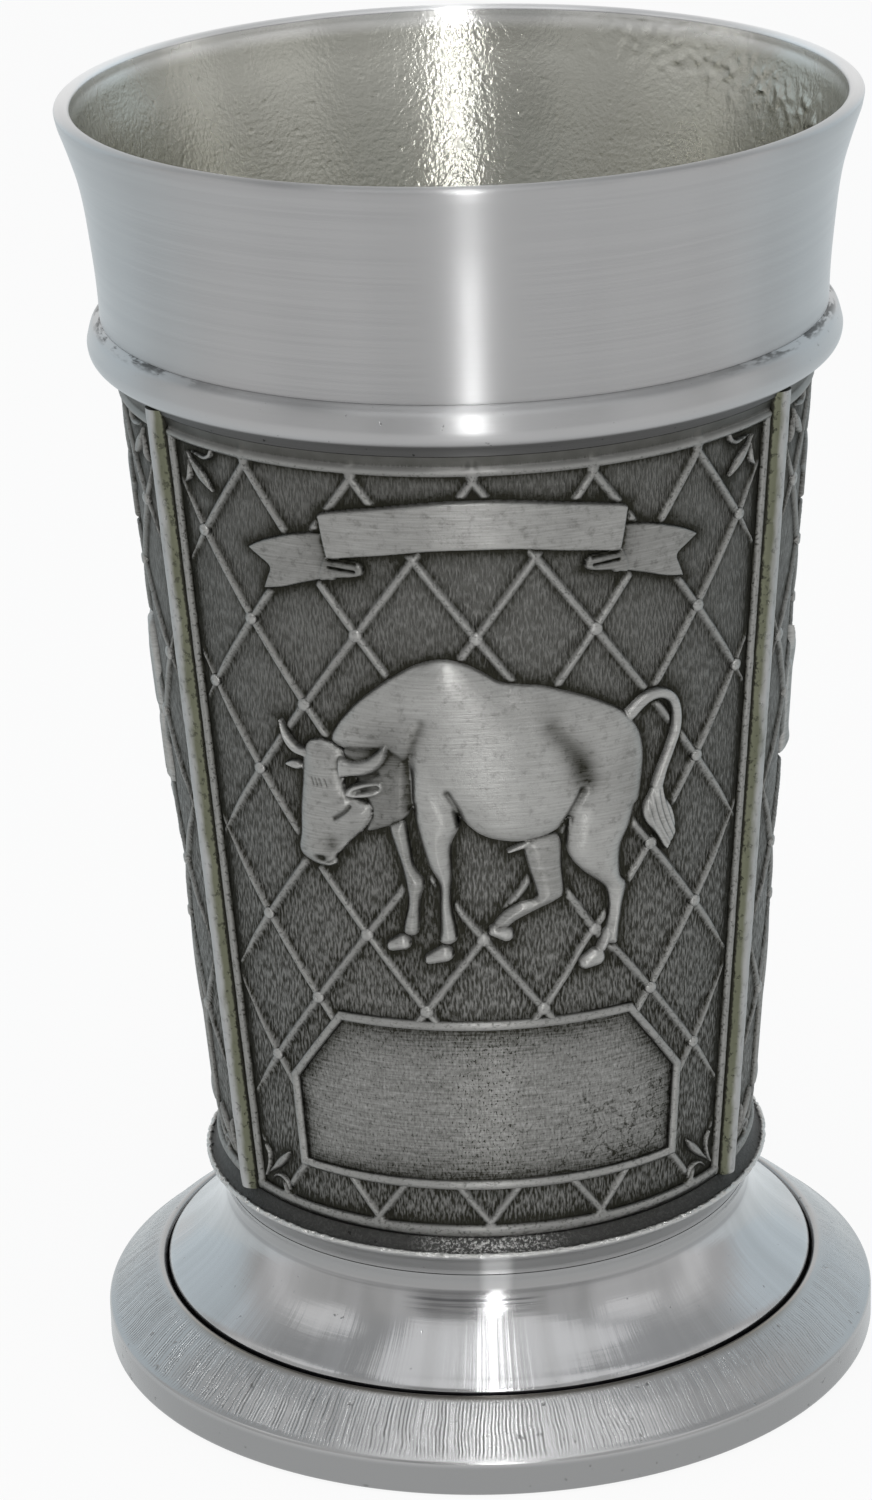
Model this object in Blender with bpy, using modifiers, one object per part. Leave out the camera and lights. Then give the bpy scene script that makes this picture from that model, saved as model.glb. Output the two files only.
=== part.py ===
"""A pewter drinking beaker: a turned cup dressed with three cast relief panels, on a turned foot.

Metres, +Z up, origin at the middle of the foot's underside. The front panel faces -Y.
"""

import math

import bmesh
import bpy

# Heights of the turned pieces, stacked from the table up
RING_EDGE_HEIGHT = 0.0035
RING_SLOPE_HEIGHT = 0.0042
NECK_HEIGHT = 0.0090
LOWER_BEAD_HEIGHT = 0.0036
PANEL_HEIGHT = 0.0790
UPPER_BEAD_HEIGHT = 0.0048
COLLAR_HEIGHT = 0.0197
SOLDER_GAP = 0.0003

# The cone that the panel frames lie on, and what steps out from it
PANEL_FOOT_RADIUS = 0.0266
PANEL_HEAD_RADIUS = 0.0323
COLLAR_STEP = 0.00155
LIP_FLARE = 0.00335
UPPER_BEAD_STEP = 0.00285
LOWER_BEAD_STEP = 0.0012
NECK_INSET = 0.0003
NECK_SPREAD = 0.0058
RING_WIDTH = 0.0058

# Walls
CUP_WALL = 0.0011
COLLAR_WALL = 0.0018
LIP_THICKNESS = 0.0014
FLOOR_THICKNESS = 0.0025
PANEL_WEB = 0.0008
FIELD_DEPTH = 0.0008
NECK_WALL = 0.0022
NECK_FLANGE = 0.0075
RING_LEDGE_HEIGHT = 0.0027
EDGE_BREAK = 0.0003

# Shares of a height at which a turned curve changes its course, and of its spread that it has gained by then
COLLAR_STRAIGHT_SHARE = 0.67
COLLAR_STEP_SHARE = 0.30
BEAD_EDGE_SHARE = 0.6
NECK_KNEE_SHARE = 0.35
KNEE_SPREAD_SHARE = 0.1

# Panels, their frames and the ribs that cover the seams between them
PANEL_COUNT = 3
RIB_WIDTH = 0.0025
RIB_PROUD = 0.0006
FRAME_INSET = 0.0021
FRAME_WIDTH = 0.0009
COVE_HEIGHT = 0.0016
COVE_REACH = 0.0012
GUTTER_HEIGHT = 0.0015

# Lattice on the panel's field
LATTICE_WIDTH = 0.01095
LATTICE_HEIGHT = 0.0150
LATTICE_BAR = 0.0008
LATTICE_STOP = 0.0014
STUD_DIAMETER = 0.0014
STUD_HEIGHT = 0.0006
ROD_SINK = 0.00007

# Blank name plate at the panel's foot, from the panel's base up
PLATE_BASE = 0.0061
PLATE_SHOULDER = 0.0154
PLATE_TOP = 0.0230
PLATE_TOP_WIDTH = 0.0283
PLATE_SHOULDER_WIDTH = 0.0396
PLATE_BASE_WIDTH = 0.0384
PLATE_RIM = 0.0010
PLATE_RAISE = 0.0002

# Blank ribbon at the panel's head, from the panel's top down
RIBBON_DROP = 0.0040
RIBBON_WIDTH = 0.0280
RIBBON_DEPTH = 0.0047
RIBBON_SAG = 0.0019
RIBBON_RAISE = 0.0010
TAIL_DROP = 0.0033
TAIL_TUCK = 0.0012
TAIL_REACH = 0.0078
TAIL_DEPTH = 0.0042
TAIL_FALL = 0.0024
TAIL_NOTCH = 0.0018
TAIL_FOLD = 0.0028
TAIL_RAISE = 0.0007

# The bull: its length from muzzle to tail, its height on the panel and the swell of its barrel
BULL_LENGTH = 0.0365
BULL_CENTRE_HEIGHT = 0.0441
BULL_RAISE = 0.0021

# Facets round a full turn and up the back of a panel; angles below which faces are joined and shaded as one
TURN_STEPS = 36
PANEL_ROWS = 3
FLAT_ANGLE = math.radians(3)
SHARP_ANGLE = math.radians(35)
MERGE_DISTANCE = 0.00001

# Levels and radii that follow from the driving dimensions
RING_TOP = RING_EDGE_HEIGHT + RING_SLOPE_HEIGHT
NECK_TOP = RING_TOP + NECK_HEIGHT
LOWER_BEAD_BASE = NECK_TOP + SOLDER_GAP
LOWER_BEAD_TOP = LOWER_BEAD_BASE + LOWER_BEAD_HEIGHT
FLOOR_TOP = LOWER_BEAD_BASE + FLOOR_THICKNESS
PANEL_BASE = LOWER_BEAD_TOP + SOLDER_GAP
PANEL_TOP = PANEL_BASE + PANEL_HEIGHT
UPPER_BEAD_BASE = PANEL_TOP + SOLDER_GAP
UPPER_BEAD_TOP = UPPER_BEAD_BASE + UPPER_BEAD_HEIGHT
SHOULDER = UPPER_BEAD_TOP + SOLDER_GAP
LIP_TOP = SHOULDER + COLLAR_HEIGHT
TOP_RIDGE = PANEL_TOP - COVE_HEIGHT
BASE_RIDGE = PANEL_BASE + GUTTER_HEIGHT
COLLAR_RADIUS = PANEL_HEAD_RADIUS + COLLAR_STEP
LIP_RADIUS = COLLAR_RADIUS + LIP_FLARE
NECK_RADIUS = PANEL_FOOT_RADIUS - NECK_INSET
SEAT_RADIUS = NECK_RADIUS + NECK_SPREAD + SOLDER_GAP
FOOT_RADIUS = SEAT_RADIUS + RING_WIDTH
PANEL_BACK = FIELD_DEPTH + PANEL_WEB
ROOT_DEPTH = FIELD_DEPTH + PANEL_WEB / 2
HALF_TURN = math.pi / PANEL_COUNT
COLUMN_STEP = LATTICE_WIDTH / 2


def cone(z):
    """Radius of the surface that the panel frames lie on."""
    return PANEL_FOOT_RADIUS + (PANEL_HEAD_RADIUS - PANEL_FOOT_RADIUS) * (z - PANEL_BASE) / PANEL_HEIGHT


def cup_outside(z):
    return cone(z) - PANEL_BACK - SOLDER_GAP


def cup_inside(z):
    return cup_outside(z) - CUP_WALL


def panel_half_width(z):
    """Half the panel's width, along the cone, up to the gap beside the seam rib."""
    return cone(z) * HALF_TURN - RIB_WIDTH / 2 - SOLDER_GAP


def frame_half_width(z):
    return cone(z) * HALF_TURN - FRAME_INSET


def arc(centre, radial, upright, start, end, steps):
    """Points on an ellipse, in degrees from the outward direction."""
    angles = [math.radians(start + (end - start) * i / steps) for i in range(steps + 1)]
    return [(centre[0] + radial * math.cos(a), centre[1] + upright * math.sin(a)) for a in angles]


def bend(start, knee, end, steps):
    """Points on a quadratic curve that leaves and arrives along the lines to its knee."""
    points = []
    for i in range(steps + 1):
        t = i / steps
        weights = ((1 - t) ** 2, 2 * t * (1 - t), t ** 2)
        points.append(tuple(sum(w * p[k] for w, p in zip(weights, (start, knee, end))) for k in (0, 1)))
    return points


def make_material(name, colour, roughness):
    material = bpy.data.materials.new(name)
    material.use_nodes = True
    shader = material.node_tree.nodes["Principled BSDF"]
    shader.inputs["Base Color"].default_value = (*colour, 1.0)
    shader.inputs["Roughness"].default_value = roughness
    shader.inputs["Metallic"].default_value = 1.0
    material.diffuse_color = (*colour, 1.0)
    return material


def add_part(name, mesh, material):
    mesh.materials.clear()
    mesh.materials.append(material)
    part = bpy.data.objects.new(name, mesh)
    beaker.objects.link(part)
    return part


def turned(name, profile, material):
    """Turn a closed profile of (radius, height) points about the Z axis."""
    mesh = bpy.data.meshes.new(name)
    count = len(profile)
    edges = [(i, (i + 1) % count) for i in range(count)]
    if profile[0][0] == 0 and profile[-1][0] == 0:
        edges.pop()
    mesh.from_pydata([(r, 0, z) for r, z in profile], edges, [])
    part = add_part(name, mesh, material)
    screw = part.modifiers.new("turn", "SCREW")
    screw.steps = TURN_STEPS
    screw.render_steps = TURN_STEPS
    screw.use_merge_vertices = True
    screw.merge_threshold = MERGE_DISTANCE
    screw.use_smooth_shade = True
    return part


def drinking_cup(material):
    """Thin tapered wall with a thicker collar that steps out over the upper bead and flares to the lip."""
    lip_round = LIP_THICKNESS / 2
    lip_centre = (LIP_RADIUS - lip_round, LIP_TOP - lip_round)
    flare_knee = SHOULDER + COLLAR_STRAIGHT_SHARE * COLLAR_HEIGHT
    flare_start = KNEE_SPREAD_SHARE * LIP_FLARE
    collar_inside = COLLAR_RADIUS - COLLAR_WALL
    step_top = SHOULDER + COLLAR_STEP_SHARE * COLLAR_HEIGHT
    profile = arc(lip_centre, lip_round, lip_round, 90, -30, 2)
    outer_knee = (COLLAR_RADIUS + flare_start, flare_knee)
    profile += bend(profile[-1], outer_knee, (COLLAR_RADIUS, SHOULDER), 4)[1:]
    profile += [(cup_outside(SHOULDER), SHOULDER)]
    wall_base = FLOOR_TOP + SOLDER_GAP
    profile += [(cup_outside(wall_base), wall_base), (cup_inside(wall_base), wall_base)]
    for i in range(4):
        t = i / 3
        ease = t * t * (3 - 2 * t)
        profile.append((cup_inside(SHOULDER) + (collar_inside - cup_inside(SHOULDER)) * ease,
                        SHOULDER + (step_top - SHOULDER) * t))
    lip_inside = (lip_centre[0] - lip_round, lip_centre[1])
    profile += bend(profile[-1], (collar_inside + flare_start, flare_knee), lip_inside, 3)[1:]
    profile += arc(lip_centre, lip_round, lip_round, 180, 90, 2)[1:-1]
    return turned("drinking_cup", profile, material)


def cup_floor(material):
    radius = lower_bead_bore() - SOLDER_GAP
    profile = [(0, FLOOR_TOP), (radius, FLOOR_TOP), (radius, LOWER_BEAD_BASE), (0, LOWER_BEAD_BASE)]
    return turned("cup_floor", profile, material)


def upper_bead_ring(material):
    """Half-round ring that sits on the panels, under the cup's collar."""
    middle = (UPPER_BEAD_BASE + UPPER_BEAD_TOP) / 2
    reach = UPPER_BEAD_STEP - COLLAR_STEP
    profile = [(COLLAR_RADIUS, UPPER_BEAD_TOP)]
    profile += arc((COLLAR_RADIUS, middle), reach, UPPER_BEAD_HEIGHT / 2, 70, -70, 4)
    profile += [(COLLAR_RADIUS, UPPER_BEAD_BASE)]
    profile += [(cup_outside(z) + SOLDER_GAP, z) for z in (UPPER_BEAD_BASE, UPPER_BEAD_TOP)]
    return turned("upper_bead_ring", profile, material)


def lower_bead_bore():
    return cup_outside(LOWER_BEAD_TOP) + SOLDER_GAP


def lower_bead_ring(material):
    """Ring under the panels, with a sharp upper edge and a round underside."""
    edge = PANEL_FOOT_RADIUS + LOWER_BEAD_STEP
    middle = LOWER_BEAD_BASE + BEAD_EDGE_SHARE * LOWER_BEAD_HEIGHT
    profile = [(PANEL_FOOT_RADIUS, LOWER_BEAD_TOP)]
    profile += arc((PANEL_FOOT_RADIUS, middle), edge - PANEL_FOOT_RADIUS, LOWER_BEAD_TOP - middle, 62, 0, 2)
    profile += bend(profile[-1], (edge, LOWER_BEAD_BASE), (NECK_RADIUS, LOWER_BEAD_BASE), 2)[1:]
    profile += [(lower_bead_bore(), LOWER_BEAD_BASE), (lower_bead_bore(), LOWER_BEAD_TOP)]
    return turned("lower_bead_ring", profile, material)


def foot_neck(material):
    """Hollow trumpet that carries the cup on a flat flange and stands in the foot ring's seat."""
    skirt = SEAT_RADIUS - SOLDER_GAP
    skirt_base = RING_LEDGE_HEIGHT + SOLDER_GAP
    flare_knee = RING_TOP + NECK_KNEE_SHARE * NECK_HEIGHT
    outer_knee = (NECK_RADIUS + KNEE_SPREAD_SHARE * NECK_SPREAD, flare_knee)
    profile = bend((NECK_RADIUS, NECK_TOP), outer_knee, (skirt - EDGE_BREAK, RING_TOP + EDGE_BREAK), 5)
    profile += [(skirt, RING_TOP - EDGE_BREAK), (skirt, skirt_base), (skirt - NECK_WALL, skirt_base)]
    flange_base = NECK_TOP - NECK_WALL
    profile += bend((skirt - NECK_WALL, RING_TOP - NECK_WALL), (NECK_RADIUS, flare_knee - NECK_WALL),
                    (NECK_RADIUS - NECK_WALL, flange_base), 3)
    profile += [(NECK_RADIUS - NECK_FLANGE, flange_base), (NECK_RADIUS - NECK_FLANGE, NECK_TOP)]
    return turned("foot_neck", profile, material)


def foot_ring(material):
    """Broad ring with a sloping top, an upright edge and a rebate that takes the neck's skirt."""
    ledge = SEAT_RADIUS - SOLDER_GAP - NECK_WALL
    profile = [(SEAT_RADIUS + EDGE_BREAK, RING_TOP)]
    profile += arc((FOOT_RADIUS - 3 * EDGE_BREAK, RING_EDGE_HEIGHT - EDGE_BREAK),
                   3 * EDGE_BREAK, 3 * EDGE_BREAK, 54, 0, 2)
    profile += [(FOOT_RADIUS, EDGE_BREAK), (FOOT_RADIUS - EDGE_BREAK, 0)]
    profile += [(ledge, 0), (ledge, RING_LEDGE_HEIGHT), (SEAT_RADIUS, RING_LEDGE_HEIGHT)]
    profile += [(SEAT_RADIUS, RING_TOP - EDGE_BREAK)]
    return turned("foot_ring", profile, material)


def finished(form, name):
    """Close a form into a mesh whose faces point outwards."""
    bmesh.ops.remove_doubles(form, verts=form.verts[:], dist=MERGE_DISTANCE / 10)
    bmesh.ops.recalc_face_normals(form, faces=form.faces[:])
    mesh = bpy.data.meshes.new(name)
    form.to_mesh(mesh)
    form.free()
    return mesh


def prism(section, place):
    """Form of a closed (height, up) section drawn out from share -1 to 1, each point then put in place."""
    form = bmesh.new()
    face = form.faces.new([form.verts.new((-1, h, z)) for h, z in section])
    drawn = bmesh.ops.extrude_face_region(form, geom=[face], use_keep_orig=True)["geom"]
    bmesh.ops.translate(form, verts=[v for v in drawn if isinstance(v, bmesh.types.BMVert)], vec=(2, 0, 0))
    for vert in form.verts:
        vert.co = place(*vert.co)
    return form


def flat_piece(name, mesh):
    """A piece of the panel's pattern, laid flat: x along the panel, -y out of it, z up."""
    piece = bpy.data.objects.new(name, mesh)
    piece.hide_render = True
    piece.display_type = "WIRE"
    pattern.objects.link(piece)
    return piece


def curve_form(name, curve, points, cyclic, place):
    """Form of a curve through (x, y, z, radius) points, each vertex then put in its place."""
    spline = curve.splines.new("POLY")
    spline.points.add(len(points) - 1)
    spline.use_cyclic_u = cyclic
    for point, (x, y, z, radius) in zip(spline.points, points):
        point.co = (x, y, z, 1)
        point.radius = radius
    guide = bpy.data.objects.new(name, curve)
    pattern.objects.link(guide)
    evaluated = guide.evaluated_get(bpy.context.evaluated_depsgraph_get())
    form = bmesh.new()
    form.from_mesh(bpy.data.meshes.new_from_object(evaluated))
    bpy.data.objects.remove(guide)
    for vert in form.verts:
        vert.co = place(*vert.co)
    return form


def flat_rod(name, points, lift, squash=1.0, sides=1, cyclic=False):
    """Tapered rod through (along, up, radius) points, lifted and squashed, with a flat root in the plate."""
    curve = bpy.data.curves.new(name, "CURVE")
    curve.dimensions = "3D"
    curve.bevel_depth = 1.0
    curve.bevel_resolution = sides
    curve.use_fill_caps = True
    placed = [(along, 0, up, radius) for along, up, radius in points]

    def place(x, y, z):
        return (x, min(y * squash - lift, ROOT_DEPTH), z)

    form = curve_form(name, curve, placed, cyclic, place)
    return flat_piece(name, finished(form, name))


def flat_sheet(name, outline, front):
    """Raised sheet with an outline of (along, up) points, from inside the plate out to its front."""
    back = -ROOT_DEPTH
    curve = bpy.data.curves.new(name, "CURVE")
    curve.dimensions = "2D"
    curve.fill_mode = "BOTH"
    curve.extrude = (front - back) / 2
    placed = [(along, up, 0, 1) for along, up in outline]

    def place(x, y, z):
        return (x, -(front + back) / 2 - z, y)

    form = curve_form(name, curve, placed, True, place)
    return flat_piece(name, finished(form, name))


def inside_span(start, end, corners):
    """Part of a straight line that lies inside a convex outline, as two shares of its length, or None."""
    low, high = 0.0, 1.0
    run = (end[0] - start[0], end[1] - start[1])
    for (u0, z0), (u1, z1) in zip(corners, corners[1:] + corners[:1]):
        across = (z1 - z0, u0 - u1)
        reach = across[0] * (start[0] - u0) + across[1] * (start[1] - z0)
        rate = across[0] * run[0] + across[1] * run[1]
        if abs(rate) < 1e-12:
            if reach > 0:
                return None
            continue
        crossing = -reach / rate
        if rate > 0:
            high = min(high, crossing)
        else:
            low = max(low, crossing)
    return (low, high) if high > low else None


def field_corners():
    """Outline, counter-clockwise, in which the lattice lies."""
    base, top = (frame_half_width(z) - LATTICE_STOP for z in (BASE_RIDGE, TOP_RIDGE))
    return [(-base, BASE_RIDGE), (base, BASE_RIDGE), (top, TOP_RIDGE), (-top, TOP_RIDGE)]


def plate_corners():
    """Outline of the blank name plate, counter-clockwise, along the middle of its rim."""
    half = [(PLATE_BASE_WIDTH / 2, PANEL_BASE + PLATE_BASE),
            (PLATE_SHOULDER_WIDTH / 2, PANEL_BASE + PLATE_SHOULDER),
            (PLATE_TOP_WIDTH / 2, PANEL_BASE + PLATE_TOP)]
    return half + [(-u, z) for u, z in reversed(half)]


def lattice():
    """Crossing bars clipped to the field and kept off the name plate; each family lies at its own depth."""
    field = field_corners()
    plate = plate_corners()
    lean = LATTICE_WIDTH / LATTICE_HEIGHT
    height = TOP_RIDGE - BASE_RIDGE
    reach = math.ceil((field[2][0] + height * lean) / LATTICE_WIDTH)
    number = 0
    for column in range(-reach, reach + 1):
        for side, sink in ((-1, ROD_SINK), (1, 2 * ROD_SINK)):
            start = (column * LATTICE_WIDTH, TOP_RIDGE)
            finish = (start[0] + side * lean * height, BASE_RIDGE)
            whole = inside_span(start, finish, field)
            if whole is None:
                continue
            covered = inside_span(start, finish, plate)
            spans = [whole]
            if covered:
                spans = [(whole[0], covered[0]), (covered[1], whole[1])]
            for low, high in spans:
                ends = [tuple(start[k] + (finish[k] - start[k]) * t for k in (0, 1)) for t in (low, high)]
                if high > low and math.dist(*ends) > 2 * LATTICE_BAR:
                    number += 1
                    points = [(*end, LATTICE_BAR / 2) for end in ends]
                    flat_rod(f"lattice_bar_{number}", points, -FIELD_DEPTH - sink, sides=0)


def lattice_studs(bull):
    """Small four-sided studs where the bars cross, apart from those that the bull and the plate cover."""
    field = field_corners()
    plate = plate_corners()
    rows = int((TOP_RIDGE - BASE_RIDGE) / (LATTICE_HEIGHT / 2))
    reach = math.ceil(field[2][0] / LATTICE_WIDTH)
    depth = PANEL_WEB / 2 + STUD_HEIGHT
    limb_points = [point for limb in bull for point in limb]
    for row in range(1, rows):
        up = TOP_RIDGE - row * LATTICE_HEIGHT / 2
        for column in range(-reach, reach + 1):
            along = (column + (row % 2) / 2) * LATTICE_WIDTH
            outer = frame_half_width(up) - LATTICE_STOP - STUD_DIAMETER / 2
            on_bull = any(math.hypot(along - u, up - z) < r + STUD_DIAMETER for u, z, r in limb_points)
            on_plate = inside_span((along, up), (along + STUD_DIAMETER, up), plate)
            if abs(along) > outer or on_bull or on_plate:
                continue
            form = bmesh.new()
            bmesh.ops.create_cone(form, cap_ends=True, segments=4, radius1=STUD_DIAMETER / math.sqrt(2),
                                  radius2=0, depth=depth)
            for vert in form.verts:
                vert.co = (along + vert.co.x, ROOT_DEPTH - depth / 2 - vert.co.z, up + vert.co.y)
            flat_piece(f"stud_{row}_{column}", finished(form, "stud"))


def panel_plate():
    """The plate with what runs right across it: cove and ridge at the head, ridge and gutter at the foot."""
    half = FRAME_WIDTH / 2
    section = bend((COVE_REACH, PANEL_TOP), (-half / 2, PANEL_TOP - half), (-half / 2, TOP_RIDGE + half), 2)
    section += [(half / 4, TOP_RIDGE), (-FIELD_DEPTH, TOP_RIDGE - FRAME_WIDTH)]
    section += [(-FIELD_DEPTH, BASE_RIDGE + FRAME_WIDTH), (half / 4, BASE_RIDGE)]
    section += [(-FIELD_DEPTH, BASE_RIDGE - FRAME_WIDTH), (-FIELD_DEPTH, PANEL_BASE)]
    section += [(-PANEL_BACK, PANEL_BASE), (-PANEL_BACK, PANEL_TOP)]
    form = prism(section, lambda share, h, z: (share * panel_half_width(z), -h, z))
    return flat_piece("plate", finished(form, "plate"))


def panel_frame():
    """Thin rib up each side of the panel."""
    radius = FRAME_WIDTH / 2
    for side in (-1, 1):
        points = [(side * frame_half_width(z), z, radius) for z in (BASE_RIDGE, TOP_RIDGE)]
        flat_rod(f"frame_{side}", points, -radius)


def name_plate():
    """Blank plate with cut upper corners and a raised rim."""
    corners = plate_corners()
    flat_sheet("name_plate", corners, PLATE_RAISE - FIELD_DEPTH)
    rim = [(u, z, PLATE_RIM / 2) for u, z in corners]
    flat_rod("name_plate_rim", rim, PLATE_RIM / 4 - FIELD_DEPTH, sides=0, cyclic=True)


# Corners of the ribbon's fold, in fold lengths from where the tail is tucked in
FOLD_CORNERS = ((0.2, 0), (0.2, 0.5), (-1, 0.4), (-1, 0.1))


def ribbon():
    """Blank ribbon, arched at its middle, with a forked tail folded back at each end."""
    half = RIBBON_WIDTH / 2
    head = PANEL_TOP - RIBBON_DROP
    count = int(half / COLUMN_STEP)
    columns = [-half, *(i * COLUMN_STEP for i in range(-count, count + 1)), half]
    arch = [(u, head - RIBBON_SAG * (u / half) ** 2) for u in columns]
    strip = arch + [(u, z - RIBBON_DEPTH) for u, z in reversed(arch)]
    flat_sheet("ribbon", strip, RIBBON_RAISE - FIELD_DEPTH)
    start = head - RIBBON_SAG - TAIL_DROP + TAIL_DEPTH / 2
    reach = TAIL_TUCK + TAIL_REACH
    for side in (-1, 1):
        inner = half - TAIL_TUCK
        edge = [(side * (inner + reach * i / 3), start - TAIL_FALL * (i / 3) ** 2) for i in range(4)]
        tip = edge[-1]
        fork = (tip[0] - side * TAIL_NOTCH, tip[1] - TAIL_DEPTH / 2)
        tail = edge + [fork] + [(u, z - TAIL_DEPTH) for u, z in reversed(edge)]
        flat_sheet(f"tail_{side}", tail, TAIL_RAISE - FIELD_DEPTH)
        base = start - TAIL_DEPTH
        fold = [(side * (inner + TAIL_FOLD * a), base + TAIL_FOLD * b) for a, b in FOLD_CORNERS]
        flat_sheet(f"fold_{side}", fold, (RIBBON_RAISE + TAIL_RAISE) / 2 - FIELD_DEPTH)


# Leaves of a corner sprig: (inwards, away from the ridge, radius) in frame widths from the frame's corner
SPRIG_LEAVES = (((2.3, 1.0, 0.45), (5.2, 0.8, 0.15)), ((2.4, 1.9, 0.6), (5.6, 4.4, 0.12)),
                ((1.5, 1.8, 0.45), (1.3, 4.7, 0.15)))


def sprigs():
    """Three-leaved sprig in each corner of the frame."""
    unit = FRAME_WIDTH
    for level, down in ((TOP_RIDGE, -1), (BASE_RIDGE, 1)):
        corner = frame_half_width(level)
        for side in (-1, 1):
            for leaf, points in enumerate(SPRIG_LEAVES):
                placed = [(side * (corner - a * unit), level + down * b * unit, r * unit) for a, b, r in points]
                flat_rod(f"leaf_{down}_{side}_{leaf}", placed, -FIELD_DEPTH - ROD_SINK, sides=0)


# The bull's limbs: rods of (along, up, radius) in hundredths of its length, with lift and squash in depth
BULL_LIMBS = (
    ("barrel", 0, 0.26, ((-15, 21, 16), (-8, 22, 21.5), (4, 18.2, 22), (18, 15.8, 19.5), (30, 15, 15.5),
                         (41, 12, 4))),
    ("neck", 0, 0.29, ((-8, 24, 18), (-21, 20, 16.5), (-35, 14, 9))),
    ("head", 2.2, 0.5, ((-40, 19, 3), (-40, 14, 6.2), (-37, 1, 9.2), (-41.5, -12.5, 5), (-42, -15.8, 2.5))),
    ("near_horn", 3.5, 0.8, ((-37, 14, 2), (-29, 14.5, 2), (-23, 20.5, 0.6))),
    ("far_horn", 2, 0.8, ((-43, 14.5, 1.7), (-49.5, 17, 1.5), (-52, 23, 0.6))),
    ("near_ear", 3, 0.6, ((-35, 6, 1.2), (-28.5, 8, 2.2), (-23.5, 9.5, 0.8))),
    ("far_ear", 0.3, 0.6, ((-45, 11, 0.8), (-49, 11.8, 1.2), (-51.5, 11.5, 0.5))),
    ("near_foreleg", 1.5, 0.6, ((-12, 18, 6.5), (-11.4, -3, 6), (-10.4, -14, 2.8), (-9.4, -21, 1.7),
                                (-9, -31, 2.2), (-10.5, -35.5, 1.6))),
    ("near_forehoof", 0.5, 0.6, ((-14.6, -38.6, 1.3), (-8.6, -36.5, 2.4))),
    ("far_foreleg", 0, 0.6, ((-21, 4, 3), (-17.4, -16, 2.4), (-17, -23, 1.8), (-18.7, -32, 1.7))),
    ("far_forehoof", 0, 0.6, ((-24.3, -35.4, 1.2), (-18.6, -33, 2.2))),
    ("near_hindleg", 1, 0.45, ((33, 16, 10), (30.5, -5.5, 9.4), (30.5, -14.5, 6.2), (33.5, -21.5, 3.7),
                               (34.6, -27, 2.3), (33, -36, 1.8))),
    ("near_hindhoof", 0.5, 0.6, ((24.8, -42.6, 1.4), (32.3, -38.5, 2.3))),
    ("far_hindleg", 0, 0.45, ((15.5, -5, 4.8), (17, -19, 3.6), (15, -22.5, 2.2), (4.5, -27, 1.5))),
    ("far_hindhoof", 0, 0.6, ((1.2, -31.6, 1.4), (6.2, -28.4, 1.9))),
    ("tail", 0.6, 0.7, ((38, 24, 1.4), (45, 28, 1.4), (51.5, 26, 1.3), (53, 18, 1.3), (47, 3.5, 1.6),
                        (46.8, -3, 3.2), (50.2, -15, 0.6))),
)
# Radius, in the same hundredths, above which a limb gets more sides
THICK_LIMB = 5


def bull_limbs():
    """The bull's rods at their size and place on the panel, without their depth."""
    unit = BULL_LENGTH / 100
    middle = PANEL_BASE + BULL_CENTRE_HEIGHT
    return [[(a * unit, middle + b * unit, r * unit) for a, b, r in points] for _, _, _, points in BULL_LIMBS]


def bull(limbs):
    """Bull with a lowered head in low relief: flattened tapered rods, as deep as its barrel needs."""
    unit = BULL_LENGTH / 100
    girths = [max(radius for _, _, radius in points) for points in limbs]
    barrel_squash = BULL_LIMBS[0][2]
    depth = BULL_RAISE / (barrel_squash * girths[0])
    for (name, lift, squash, _), points, girth in zip(BULL_LIMBS, limbs, girths):
        sides = 1 if girth > THICK_LIMB * unit else 0
        height = lift * unit * depth - FIELD_DEPTH - ROD_SINK
        flat_rod(f"bull_{name}", points, height, squash * depth, sides)


def crease(form, chosen, place, normal):
    """Cut the chosen faces of a form along a plane."""
    form.normal_update()
    geom = {part for face in form.faces if chosen(face) for part in (*face.verts, *face.edges, face)}
    bmesh.ops.bisect_plane(form, geom=list(geom), dist=MERGE_DISTANCE, plane_co=place, plane_no=normal)


def crease_panel(form):
    """Cut what runs along the panel at the lattice's columns, and its back in rows, ready for rolling."""
    reach = math.ceil(panel_half_width(PANEL_TOP) / COLUMN_STEP)
    for column in range(-reach, reach + 1):
        crease(form, lambda face: abs(face.normal.x) < 0.001, (column * COLUMN_STEP, 0, 0), (1, 0, 0))
    for row in range(1, PANEL_ROWS):
        level = PANEL_BASE + PANEL_HEIGHT * row / PANEL_ROWS
        crease(form, lambda face: face.normal.y > 0.999, (0, 0, level), (0, 0, 1))


def relief_panel_mesh():
    """Join the flat pattern into one body, then roll it onto the cone."""
    plate = panel_plate()
    pattern.objects.unlink(plate)
    beaker.objects.link(plate)
    limbs = bull_limbs()
    panel_frame()
    lattice()
    lattice_studs(limbs)
    name_plate()
    ribbon()
    sprigs()
    bull(limbs)
    union = plate.modifiers.new("pattern", "BOOLEAN")
    union.operation = "UNION"
    union.operand_type = "COLLECTION"
    union.collection = pattern
    union.solver = "EXACT"
    evaluated = plate.evaluated_get(bpy.context.evaluated_depsgraph_get())
    form = bmesh.new()
    form.from_mesh(bpy.data.meshes.new_from_object(evaluated))
    for piece in [plate, *pattern.objects]:
        bpy.data.objects.remove(piece)
    bmesh.ops.dissolve_limit(form, angle_limit=FLAT_ANGLE, verts=form.verts[:], edges=form.edges[:])
    crease_panel(form)
    bmesh.ops.triangulate(form, faces=form.faces[:])
    for vert in form.verts:
        along, depth, up = vert.co
        angle = along / cone(up)
        radius = cone(up) - depth
        vert.co = (radius * math.sin(angle), -radius * math.cos(angle), up)
    mesh = bpy.data.meshes.new("relief_panel")
    form.to_mesh(mesh)
    form.free()
    mesh.shade_smooth()
    mesh.set_sharp_from_angle(angle=SHARP_ANGLE)
    return mesh


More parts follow.
